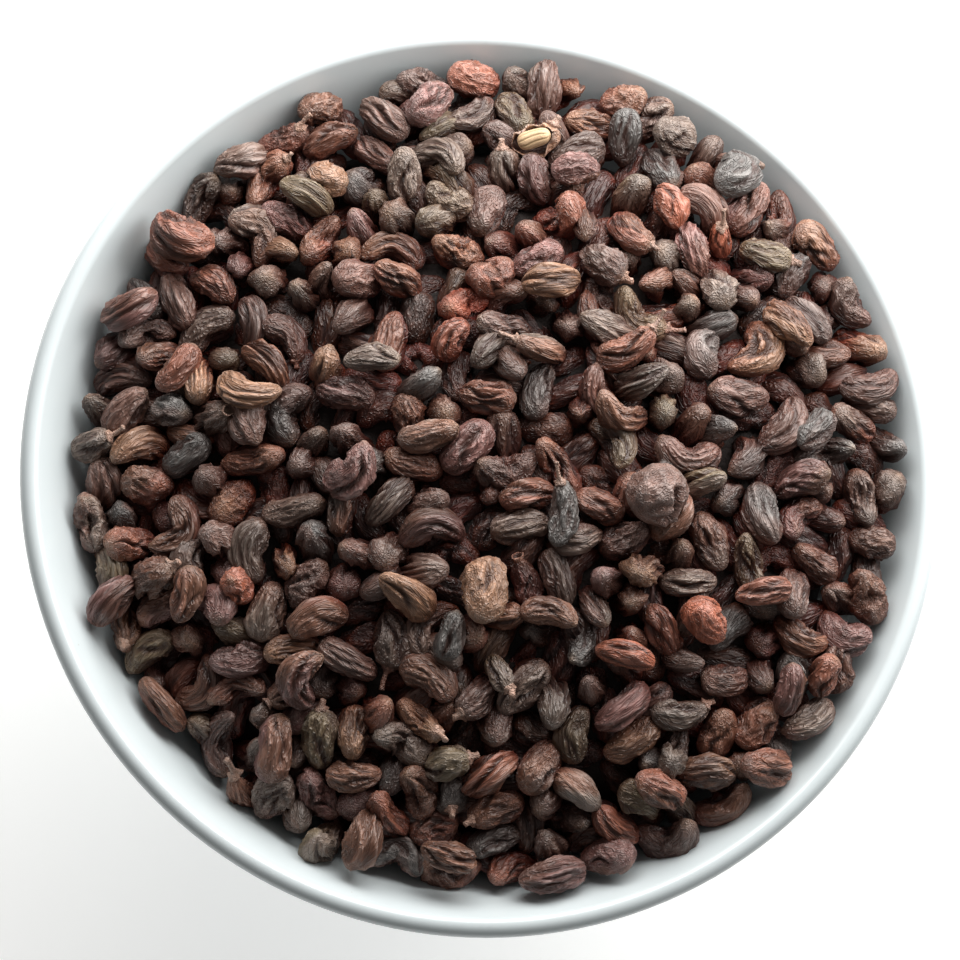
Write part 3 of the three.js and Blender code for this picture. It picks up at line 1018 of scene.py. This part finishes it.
def bend_hollow(along, around, bend):
    """How far the skin sinks on the inside of the bend, as a share of the thickness."""
    across = (turn_between(around, pi) / HOLLOW_WIDTH) ** 2
    return HOLLOW_DEPTH * bend * np.exp(-across - (along / HOLLOW_LENGTH) ** 2)


def pattern_shift(chance):
    """Where in the patterns one skin lies, in millimetres, so that no two look alike."""
    return chance.uniform(-PATTERN_REACH, PATTERN_REACH, 3)


def fruit_surface(spine, thick, rings, sides, chance):
    """One wrinkled fruit: its points and what each carries for its material."""
    form = Form(thick / spine.long, chance)
    spine.flatness = form.flatness
    along, turn = mesh_lines(rings, sides)
    around = spine.upward() + turn - TOP_CROWDING * np.sin(turn)
    swell = outline_of(along, form)
    half = swell * thick / 2
    skin_long = spine.long / 2 / form.cell_stretch
    skin = np.stack([half * np.cos(around), half * np.sin(around), along * skin_long], -1)
    relief = relief_of(along, around, skin, form, chance)
    crease = np.clip(-relief / FULL_CREASE, 0, 1)
    lumps = form.lump * waves(along, around, LUMPS, chance.uniform(0, 2 * pi, len(LUMPS)))
    relief = relief - bend_hollow(along, around, spine.bend) + lumps + RIDGES_OUT
    out = np.maximum(half + thick * relief * swell, THINNEST_PART * half)
    skin = with_poles([0, 0, -skin_long], skin, [0, 0, skin_long]) / MM + pattern_shift(chance)
    blush = blush_of(along, around, chance)
    tip = np.clip((along - TIP_START) / (1 - TIP_START), 0, 1) ** 2
    return {
        "points": spine.points(along, around, out),
        "skin": skin,
        "crease": with_poles(POLE_CREASE, crease, POLE_CREASE),
        "blush": with_poles(blush[0, 0], blush, blush[-1, 0]),
        "tip": with_poles(TAIL_TIP, tip, 1),
    }


def ring_faces(rings, sides):
    """Faces of a closed skin of rings with a pole at each end."""
    ring = 1 + np.arange((rings - 1) * sides).reshape(rings - 1, sides)
    after = np.roll(ring, -1, axis=1)
    quads = np.stack([ring[:-1], after[:-1], after[1:], ring[1:]], -1).reshape(-1, 4)
    head = np.full(sides, ring[-1, -1] + 1)
    tail_cap = np.stack([np.zeros(sides, int), after[0], ring[0]], -1)
    head_cap = np.stack([head, ring[-1], after[-1]], -1)
    return quads, np.concatenate([tail_cap, head_cap])


# What each point carries for the materials, and its kind.
CARRIED = {
    "skin": "FLOAT_VECTOR",
    "crease": "FLOAT",
    "blush": "FLOAT",
    "tip": "FLOAT",
    "tint": "FLOAT",
    "sunk": "FLOAT",
}
DEEPEST = 3.5 * MM  # below the heap's surface, where hardly any light comes and the painted shade is full


def sunk(points):
    """How deep points lie in the heap: 0 at its surface and 1 where it is deepest. It sets how much
    painted shade a skin takes.
    """
    settings = bpy.context.scene.dried_fruit
    below = Dome(settings.heap, settings.bowl).top(points[:, 0], points[:, 1]) - points[:, 2]
    return np.clip(below / DEEPEST, 0, 1)


class Batch:
    """Closed ringed surfaces, gathered into one piece with what each point carries."""

    def __init__(self):
        self.parts = {name: [] for name in ("points", "quads", "caps", *CARRIED)}
        self.placed = 0

    def add(self, surface, rings, sides, tint):
        quads, caps = ring_faces(rings, sides)
        size = len(surface["points"])
        whole = {"quads": quads + self.placed, "caps": caps + self.placed}
        whole |= {"tint": np.full(size, tint), "sunk": sunk(surface["points"])}
        for name, values in {**surface, **whole}.items():
            self.parts[name].append(values)
        self.placed += size

    def piece(self, name):
        joined = {part: np.concatenate(values) for part, values in self.parts.items()}
        piece = piece_from(name, joined["points"], joined["quads"], joined["caps"])
        for carried, kind in CARRIED.items():
            carry(piece, carried, kind, joined[carried])
        return piece


# Rings along and sides round a fruit, by how far its top stands above or below the heap's surface.
SHOWING = -1.6 * MM
MESHES = [(SHOWING, 28, 52), (-4.2 * MM, 16, 28), (-1, 12, 18)]


@functools.cache
def rises():
    """How far the top of each fruit stands above the heap's surface."""
    settings, fruits = bpy.context.scene.dried_fruit, settled_fruits()
    x, y, z = fruits.middle.T
    return z + fruits.thickness / 2 - Dome(settings.heap, settings.bowl).top(x, y)


@functools.cache
def skins_of_fruits():
    """The skin of every fruit: as named for those that stand out, and by shares for the rest."""
    chance = np.random.default_rng(bpy.context.scene.dried_fruit.heap.seed)
    names, shares = list(SHARES), np.array(list(SHARES.values()))
    strewn_skins = chance.choice(names, len(settled_fruits()) - len(NOTABLE), p=shares / shares.sum())
    return [row[NOTABLE_COLUMNS] for row in NOTABLE] + list(strewn_skins)


CURL_RARITY = 1.4  # power that keeps strong curls to few fruits
CURL_SHORTENS = 0.1
CURL_BENDS = 0.8
MIDDLE_TINT = 0.5
LOWER_PAINTED_SHADE = 0.45  # painted shade: factor on the tint of the fruits below the showing layer, which darkens them


def spine_of(fruits, i, side):
    """The line through a fruit. The lower ones are lifted a little, and the most bent curl up."""
    heap = bpy.context.scene.dried_fruit.heap
    middle = fruits.middle[i].copy()
    if rises()[i] < SHOWING:
        middle[2] += heap.lift
    curl = (fruits.bend[i] / heap.most_bend) ** CURL_RARITY
    long = fruits.length[i] * (1 - CURL_SHORTENS * curl)
    return Spine(long, middle, fruits.axis[i], side, fruits.bend[i] * (1 + CURL_BENDS * curl))


def tint_of(i, chance):
    """How light a fruit is, from 0 to 1. Those that stand out are in the middle, and those below the
    showing layer are darker, as painted shade.
    """
    if i < len(NOTABLE):
        return MIDDLE_TINT
    return chance.beta(2, 2) * (1 if rises()[i] > SHOWING else LOWER_PAINTED_SHADE)


def fruit_piece(skin_name, piece_name):
    """One piece of all fruits with a skin."""
    seed = bpy.context.scene.dried_fruit.heap.seed
    fruits, batch = settled_fruits(), Batch()
    sides_of_bend = bend_sides(fruits)
    for i in (i for i, name in enumerate(skins_of_fruits()) if name == skin_name):
        chance = np.random.default_rng((seed, i))
        tint = tint_of(i, chance)
        rings, sides = next(sizes for lowest, *sizes in MESHES if rises()[i] > lowest)
        spine = spine_of(fruits, i, sides_of_bend[i])
        batch.add(fruit_surface(spine, fruits.thickness[i], rings, sides, chance), rings, sides, tint)
    return batch.piece(piece_name)


# Stalks


# Profiles of what is left of the stalk, from inside the fruit outwards, in millimetres: distance
# along it, radius, and how much its five lobes spread.
CALYX = [(-0.3, 0.5, 0), (0, 0.78, 0.1), (0.2, 0.78, 0.17), (0.32, 0.52, 0.1)]
STALKS = {
    "nub": [*CALYX, (0.5, 0.4, 0), (0.9, 0.33, 0), (1.2, 0.36, 0)],
    "stalk": [*CALYX, (0.7, 0.3, 0), (1.6, 0.26, 0), (2.4, 0.28, 0), (2.6, 0.36, 0)],
    "cup": [
        (-0.3, 0.5, 0),
        (0, 0.62, 0),
        (0.35, 0.66, 0.02),
        (0.7, 0.78, 0.06),
        (0.78, 0.7, 0.06),
        (0.55, 0.5, 0),
        (0.1, 0.3, 0),
    ],
}
STALK_SHARES = (0.55, 0.35, 0.1)
STALK_SIDES = 20
LOBES = 5
STALK_SIZES = (0.85, 1.2)  # factors on the profiles
STALK_BENDS = (0.02, 0.14)
STALK_OVALS = (0.05, 0.2)
STALK_WAVE = 0.08
STALK_BUMPS = (0.92, 1.08)
STALK_TINTS = (0.3, 1)
FOOT_BACK = 0.1 * MM  # a stalk's closed foot, back from its profile's first point
TIP_ON = 0.08 * MM  # a stalk's closed tip, on from its profile's last point
CUP_BACK = 0.1 * MM  # a cup's closed bottom, back from its profile's last point
CUP_INSIDE = 2  # profile points that lie inside a cup
STALK_CREASE = 0.1
STALK_END_CREASE = 0.2
STALK_STAINS = 0.35
STALK_SINKS = 0.3 * MM  # into the fruit's end
STALK_CLEARANCE = 0.35 * MM
STALK_REACH = 1.6 * MM
STALK_LOWEST = -0.2  # a stalk points no further down than this, as the rise of its direction
STALK_RADIUS = 0.88  # stalks keep within this share of the rim's radius


def plain_surface(points, skin, crease):
    """A surface whose skin has no blush and no stalk end."""
    zero = np.zeros(len(points))
    return {"points": points, "skin": skin, "crease": crease, "blush": zero, "tip": zero}


def unevenness(along, around, lobes, chance):
    """Factors on a stalk's radius, which make it lobed, oval, wavy and bumpy."""
    lobed = 1 + lobes[:, None] * np.cos(LOBES * around + chance.uniform(0, 2 * pi))
    oval = 1 + chance.uniform(*STALK_OVALS) * np.cos(2 * around + chance.uniform(0, 2 * pi))
    wavy = oval + STALK_WAVE * np.cos(3 * around + 4 * along + chance.uniform(0, 2 * pi))
    return lobed * wavy * chance.uniform(*STALK_BUMPS, along.shape)


def stalk_surface(start, direction, kind, chance):
    """A nub, a stalk on its calyx, or an open cup, on the end of a fruit."""
    cup = kind == "cup"
    reach, radius, lobes = np.array(STALKS[kind]).T
    size = chance.uniform(*STALK_SIZES) * MM
    reach, radius = reach * size, radius * size
    first, last = reach[0] - FOOT_BACK, reach[-1] + (-CUP_BACK if cup else TIP_ON)
    side = np.cross(direction, chance.normal(0, 1, 3))
    side = side / np.linalg.norm(side)
    long = last - first
    bend = 0.0 if cup else chance.uniform(*STALK_BENDS)
    middle = start + direction * (first + long / 2) + side * bend * long / 2
    along, turn = (reach - first) / long * 2 - 1, np.arange(STALK_SIDES) * 2 * pi / STALK_SIDES
    along, around = np.meshgrid(along, turn, indexing="ij")
    out = radius[:, None] * unevenness(along, around, lobes, chance)
    points = Spine(long, middle, direction, side, bend).points(along, around, out)
    # Painted shade: the inside of a cup gets full crease depth, which darkens it.
    inside = (np.arange(len(reach)) >= len(reach) - CUP_INSIDE) & cup
    crease = np.where(inside, 1.0, STALK_CREASE)[:, None] + chance.uniform(0, STALK_STAINS, along.shape)
    skin = (points - start) / MM + pattern_shift(chance)
    return plain_surface(points, skin, with_poles(POLE_CREASE, crease, 1.0 if cup else STALK_END_CREASE))


def clear_ends(fruits, heads, outward):
    """Numbers of the showing fruits whose stalk end points into free space."""
    tips = heads + outward * STALK_REACH
    apart = np.linalg.norm(tips[:, None, None] - balls_of(fruits)[None], axis=-1)
    gap = apart.min(-1) - fruits.thickness / 2
    np.fill_diagonal(gap, np.inf)
    rim = bpy.context.scene.dried_fruit.bowl.rim_radius
    clear = (gap.min(-1) > STALK_CLEARANCE) & (rises() > SHOWING) & (outward[:, 2] > STALK_LOWEST)
    return np.flatnonzero(clear & (np.hypot(tips[:, 0], tips[:, 1]) < STALK_RADIUS * rim))


def stalks_piece():
    settings = bpy.context.scene.dried_fruit
    chance = np.random.default_rng(settings.heap.seed)
    fruits, batch = settled_fruits(), Batch()
    sides_of_bend = bend_sides(fruits)
    heads = np.array([spine_of(fruits, i, sides_of_bend[i]).end(1) for i in range(len(fruits))])
    outward = fruits.axis - 4 * fruits.bend[:, None] * sides_of_bend
    outward = outward / np.linalg.norm(outward, axis=1, keepdims=True)
    free = clear_ends(fruits, heads, outward)
    for i in chance.choice(free, min(settings.heap.stalks, len(free)), replace=False):
        kind = str(chance.choice(list(STALKS), p=STALK_SHARES))
        surface = stalk_surface(heads[i] - outward[i] * STALK_SINKS, outward[i], kind, chance)
        batch.add(surface, len(STALKS[kind]) + 1, STALK_SIDES, chance.uniform(*STALK_TINTS))
    return batch.piece("stalks")


# Split fruit


SPLIT_RINGS = 40
SPLIT_SIDES = 72
SHELL = 0.3 * MM
SHELL_RATIO = 0.6  # thickness for its length, which says how its skin has dried
SHELL_LEAST = 0.1  # of the plain outline's half thickness
MOUTH = 1.25  # half the angle by which the shell gapes
MOUTH_MIDDLE = -0.1
MOUTH_REACH = 0.85
MOUTH_ENDS = 0.004
MOUTH_WAVES = [(0.2, 6, 0)]
TORN_EDGE = 0.06  # width of the lips, as a share of the way round the shell
TORN_CURL = 0.3 * MM
TORN_FRILL = [(0.35 * MM, 9, 2)]
# Painted shade: crease depth added on the shell's inner face, which darkens it.
INSIDE_CREASE = 0.7
SEED_LENGTH = 4.3 * MM
SEED_THICKNESS = 2.3 * MM
SEED_RAISED = 1.2 * MM
SEED_TAPER = 0.08
SEED_WANDER = [(0.12, 3, 0), (0.1, 0, 2)]
SEED_GROOVES = 4  # on each half
GROOVE_WIDTH = 0.35
GROOVE_DEPTH = 0.13  # as a share of the seed's half thickness


def split_spine(long, raised):
    """The line of the split fruit, or of the seed that lies above it."""
    i = next(i for i, row in enumerate(NOTABLE) if row[NOTABLE_COLUMNS] == "split")
    fruits = settled_fruits()
    axis = fruits.axis[i]
    up = np.array((0.0, 0.0, 1.0))
    side = up - axis * axis[2]
    side = side / np.linalg.norm(side)
    spine = Spine(long or fruits.length[i], fruits.middle[i] + side * raised, axis, side)
    return spine, fruits.thickness[i]


def mouth_of(along):
    """Half the angle by which the shell gapes at each place along it."""
    gape = 1 - ((along - MOUTH_MIDDLE) / MOUTH_REACH) ** 2
    gape = MOUTH * np.sqrt(np.clip(gape, MOUTH_ENDS, 1))
    return gape * (1 + waves(along, 0, MOUTH_WAVES, [1]))


def shell_surface(chance):
    """The torn shell: a trough with thin lips that curl out, closed at both ends."""
    spine, thick = split_spine(None, 0)
    form = Form(SHELL_RATIO, chance)
    along, turn = mesh_lines(SPLIT_RINGS, SPLIT_SIDES)
    share = turn / pi
    inner = share >= 1
    across = np.where(inner, 2 - share, share)
    mouth = mouth_of(along)
    around = mouth + across * (2 * pi - 2 * mouth)
    swell = outline_of(along, form)
    half = swell * thick / 2
    skin = np.stack([half * np.cos(around), half * np.sin(around), along * spine.long / 4], -1)
    relief = relief_of(along, around, skin, form, chance)
    lip = np.exp(-np.minimum(across, 1 - across) / TORN_EDGE)
    torn = lip * (TORN_CURL + waves(along, across, TORN_FRILL, [0]))
    out = half + thick * (relief + RIDGES_OUT) * swell + torn - np.where(inner, SHELL, 0)
    crease = np.clip(-relief / FULL_CREASE + np.where(inner, INSIDE_CREASE, 0) - lip, 0, 1)
    points = spine.points(along, around, np.maximum(out, SHELL_LEAST * half))
    skin = with_poles([0, 0, 0], skin, [0, 0, 0]) / MM
    return plain_surface(points, skin, with_poles(0, crease, 0))


def seed_surface(chance):
    """The pale seed: a barrel with long grooves."""
    spine, _ = split_spine(SEED_LENGTH, SEED_RAISED)
    along, around = mesh_lines(SPLIT_RINGS, SPLIT_SIDES)
    half = (1 - np.abs(along) ** 4) ** 0.5 * (1 - SEED_TAPER * along) * SEED_THICKNESS / 2
    wander = around + waves(along, around, SEED_WANDER, [1, 0])
    groove = np.exp(-((np.sin(SEED_GROOVES * wander) / GROOVE_WIDTH) ** 2))
    deeper_on_top = 0.6 + 0.4 * np.cos(around)
    groove = groove * deeper_on_top * (1 - along**6)
    points = spine.points(along, around, half * (1 - GROOVE_DEPTH * groove))
    skin = (points - spine.middle) / MM + pattern_shift(chance)
    return plain_surface(points, skin, with_poles(0, groove, 0))


def split_piece(name, surface):
    batch = Batch()
    batch.add(surface, SPLIT_RINGS, SPLIT_SIDES, MIDDLE_TINT)
    return batch.piece(name)


# Bed


BED_RINGS = 28
BED_SEGMENTS = 96
EDGE_LOOKS = 36  # places round the edge where its height is looked at
BED_LUMP = 0.7 * MM
BED_LUMPS_ALONG, BED_LUMPS_ACROSS = 1.3 / MM, 1.1 / MM
BED_EASE = 6 * MM  # its top comes down to its edge over this width
BED_MARGIN = 0.1 * MM


def bed_profile(heap, wall, edge):
    """From the lowest point up beside the wall to the edge, and in to the middle."""
    below = [wall.beside(wall.reach * t, -heap.bed_gap) for t in np.linspace(0, 1, BED_RINGS)]
    profile = [point for point in below if point[1] < edge]
    reach = profile[-1][0]
    return profile + [(reach * (1 - t), edge) for t in np.linspace(0, 1, BED_RINGS)[1:]], reach


def make_bed(settings):
    """The closed bed that fills the cavity under the fruits, its top lumpy as fruits are."""
    heap, wall = settings.heap, Wall(settings.bowl)
    dome = Dome(heap, settings.bowl)
    turns = np.linspace(0, 2 * pi, EDGE_LOOKS)
    edge = min(dome.top(wall.reach * cos(t), wall.reach * sin(t)) for t in turns) - heap.bed_depth
    profile, reach = bed_profile(heap, wall, edge)
    bed = turned_piece("fruit_bed", profile, BED_SEGMENTS)
    for vertex in bed.data.vertices:
        radius = hypot(vertex.co.x, vertex.co.y)
        if vertex.co.z > edge - BED_MARGIN and radius < reach - BED_MARGIN:
            lumps = sin(BED_LUMPS_ALONG * vertex.co.x) * sin(BED_LUMPS_ACROSS * vertex.co.y + 0.6)
            raised = dome.top(vertex.co.x, vertex.co.y) - heap.bed_depth + BED_LUMP * lumps
            vertex.co.z += (raised - vertex.co.z) * min(1, (reach - radius) / BED_EASE)
    return bed


# Stage


SENSOR_WIDTH = 36
CLIP = (0.01, 20)


def towards(heading, height):
    """The direction of a side from +X and of a height above the horizon."""
    across = cos(height)
    return Vector((cos(heading) * across, sin(heading) * across, sin(height)))


def aim(thing, back, up):
    """Turns a camera or light to look against its back direction."""
    right = up.cross(back).normalized()
    true_up = back.cross(right)
    rotation = Matrix((right, true_up, back)).transposed().to_4x4()
    thing.matrix_world = Matrix.Translation(thing.location) @ rotation


def make_camera(stage, bowl):
    data = bpy.data.cameras.new("camera")
    data.lens = stage.lens
    data.sensor_width = SENSOR_WIDTH
    data.clip_start, data.clip_end = CLIP
    camera = add_object("camera", data)
    back = towards(stage.heading, pi / 2 - stage.tilt)
    up = Vector((0, 1, 0))
    right = up.cross(back).normalized()
    target = Vector((0, 0, bowl.rim_height)) + right * stage.aim_right + back.cross(right) * stage.aim_up
    camera.location = target + back * stage.distance
    aim(camera, back, up)
    bpy.context.scene.camera = camera


def make_key(stage, bowl):
    """One wide soft light, low at the far side, aimed at the bowl."""
    data = bpy.data.lights.new("key_light", "AREA")
    data.shape = "RECTANGLE"
    data.size, data.size_y = stage.key_width, stage.key_tall
    data.energy = stage.key_power
    data.color = stage.key_colour
    light = add_object("key_light", data)
    back = towards(stage.key_heading, stage.key_height)
    light.location = Vector((0, 0, bowl.rim_height)) + back * stage.key_distance
    light.visible_camera = False
    aim(light, back, Vector((0, 0, 1)))


def make_sky(stage):
    world = bpy.data.worlds.new("soft_room_light")
    world.use_nodes = True
    background = world.node_tree.nodes["Background"]
    background.inputs["Color"].default_value = (*stage.sky_colour, 1)
    background.inputs["Strength"].default_value = stage.sky
    bpy.context.scene.world = world


# Operators


class AddBowl(bpy.types.Operator):
    """Turn the porcelain bowl with its foot ring and round lip"""

    bl_idname = "dried_fruit.bowl"
    bl_label = "Porcelain Bowl"

    def execute(self, context):
        bowl = context.scene.dried_fruit.bowl
        piece = turned_piece("porcelain_bowl", bowl_profile(bowl), bowl.segments)
        finish_piece(piece, porcelain(tuple(bowl.glaze)), "bowl")
        return {"FINISHED"}


class AddBed(bpy.types.Operator):
    """Fill the bowl with the bed, painted dark as shade, that shows between the fruits"""

    bl_idname = "dried_fruit.bed"
    bl_label = "Shaded Bed"

    def execute(self, context):
        settings = context.scene.dried_fruit
        bed = make_bed(settings)
        finish_piece(bed, bed_material(tuple(settings.skins.bed)), "fruit_heap")
        return {"FINISHED"}


class AddFruits(bpy.types.Operator):
    """Lay the wrinkled fruits, one piece for each kind of skin"""

    bl_idname = "dried_fruit.fruits"
    bl_label = "Dried Fruits"

    def execute(self, context):
        skins = context.scene.dried_fruit.skins
        for name in SHARES:
            piece = fruit_piece(name, f"fruits_{name}")
            shade, blush = tuple(getattr(skins, name)), tuple(getattr(skins, BLUSHES[name]))
            material = skin_material(f"{name}_skin", shade, blush, skins)
            finish_piece(piece, material, "fruit_heap")
        return {"FINISHED"}


class AddStalks(bpy.types.Operator):
    """Put the bits of stalk and calyx on some of the fruits"""

    bl_idname = "dried_fruit.stalks"
    bl_label = "Stalks and Calyxes"

    def execute(self, context):
        skins = context.scene.dried_fruit.skins
        material = skin_material("stalk_skin", tuple(skins.stalk), tuple(skins.umber), skins)
        finish_piece(stalks_piece(), material, "fruit_heap")
        return {"FINISHED"}


class AddSplitFruit(bpy.types.Operator):
    """Lay the split fruit, whose pale seed shows in its torn shell"""

    bl_idname = "dried_fruit.split_fruit"
    bl_label = "Split Fruit"

    def execute(self, context):
        settings = context.scene.dried_fruit
        skins = settings.skins
        chance = np.random.default_rng(settings.heap.seed)
        shell = skin_material("shell_skin", tuple(skins.tan), tuple(skins.russet), skins)
        seed = seed_material(tuple(skins.seed), tuple(skins.groove))
        finish_piece(split_piece("split_shell", shell_surface(chance)), shell, "fruit_heap")
        finish_piece(split_piece("split_seed", seed_surface(chance)), seed, "fruit_heap")
        return {"FINISHED"}


class AddStage(bpy.types.Operator):
    """Set the floor, the soft light and the camera"""

    bl_idname = "dried_fruit.stage"
    bl_label = "Stage"

    def execute(self, context):
        settings = context.scene.dried_fruit
        stage = settings.stage
        context.scene.view_settings.view_transform = "Standard"
        bpy.ops.object.select_all(action="DESELECT")
        bpy.ops.mesh.primitive_plane_add(size=stage.floor_size, location=(0, 0, 0))
        floor = context.object
        floor.name = "floor"
        floor.data.materials.append(floor_material(tuple(stage.floor_colour), stage.floor_glow))
        make_camera(stage, settings.bowl)
        make_sky(stage)
        make_key(stage, settings.bowl)
        return {"FINISHED"}


class DriedFruitPanel(bpy.types.Panel):
    """Lists the pieces in the order in which they are made"""

    bl_idname = "VIEW3D_PT_dried_fruit"
    bl_label = "Bowl of Dried Fruit"
    bl_space_type = "VIEW_3D"
    bl_region_type = "UI"
    bl_category = "Dried Fruit"

    def draw(self, context):
        for operator in OPERATORS:
            self.layout.operator(operator.bl_idname)


class DriedFruitSettings(bpy.types.PropertyGroup):
    """All settings of the bowl and its fruits."""

    bowl: PointerProperty(type=BowlSettings, name="Bowl", description="The bowl's sizes")
    heap: PointerProperty(type=HeapSettings, name="Heap", description="The heap's form")
    skins: PointerProperty(type=SkinSettings, name="Skins", description="The fruits' colours")
    stage: PointerProperty(type=StageSettings, name="Stage", description="Camera and light")


OPERATORS = [AddBowl, AddBed, AddFruits, AddStalks, AddSplitFruit, AddStage]
CLASSES = [
    BowlSettings,
    HeapSettings,
    SkinSettings,
    StageSettings,
    DriedFruitSettings,
    *OPERATORS,
    DriedFruitPanel,
]


def register():
    for one in CLASSES:
        bpy.utils.register_class(one)
    bpy.types.Scene.dried_fruit = PointerProperty(type=DriedFruitSettings)


def unregister():
    del bpy.types.Scene.dried_fruit
    for one in reversed(CLASSES):
        bpy.utils.unregister_class(one)


def main():
    """Builds every piece and sets the stage."""
    register()
    bpy.ops.dried_fruit.bowl()
    bpy.ops.dried_fruit.bed()
    bpy.ops.dried_fruit.fruits()
    bpy.ops.dried_fruit.stalks()
    bpy.ops.dried_fruit.split_fruit()
    bpy.ops.dried_fruit.stage()


if __name__ == "__main__":
    main()
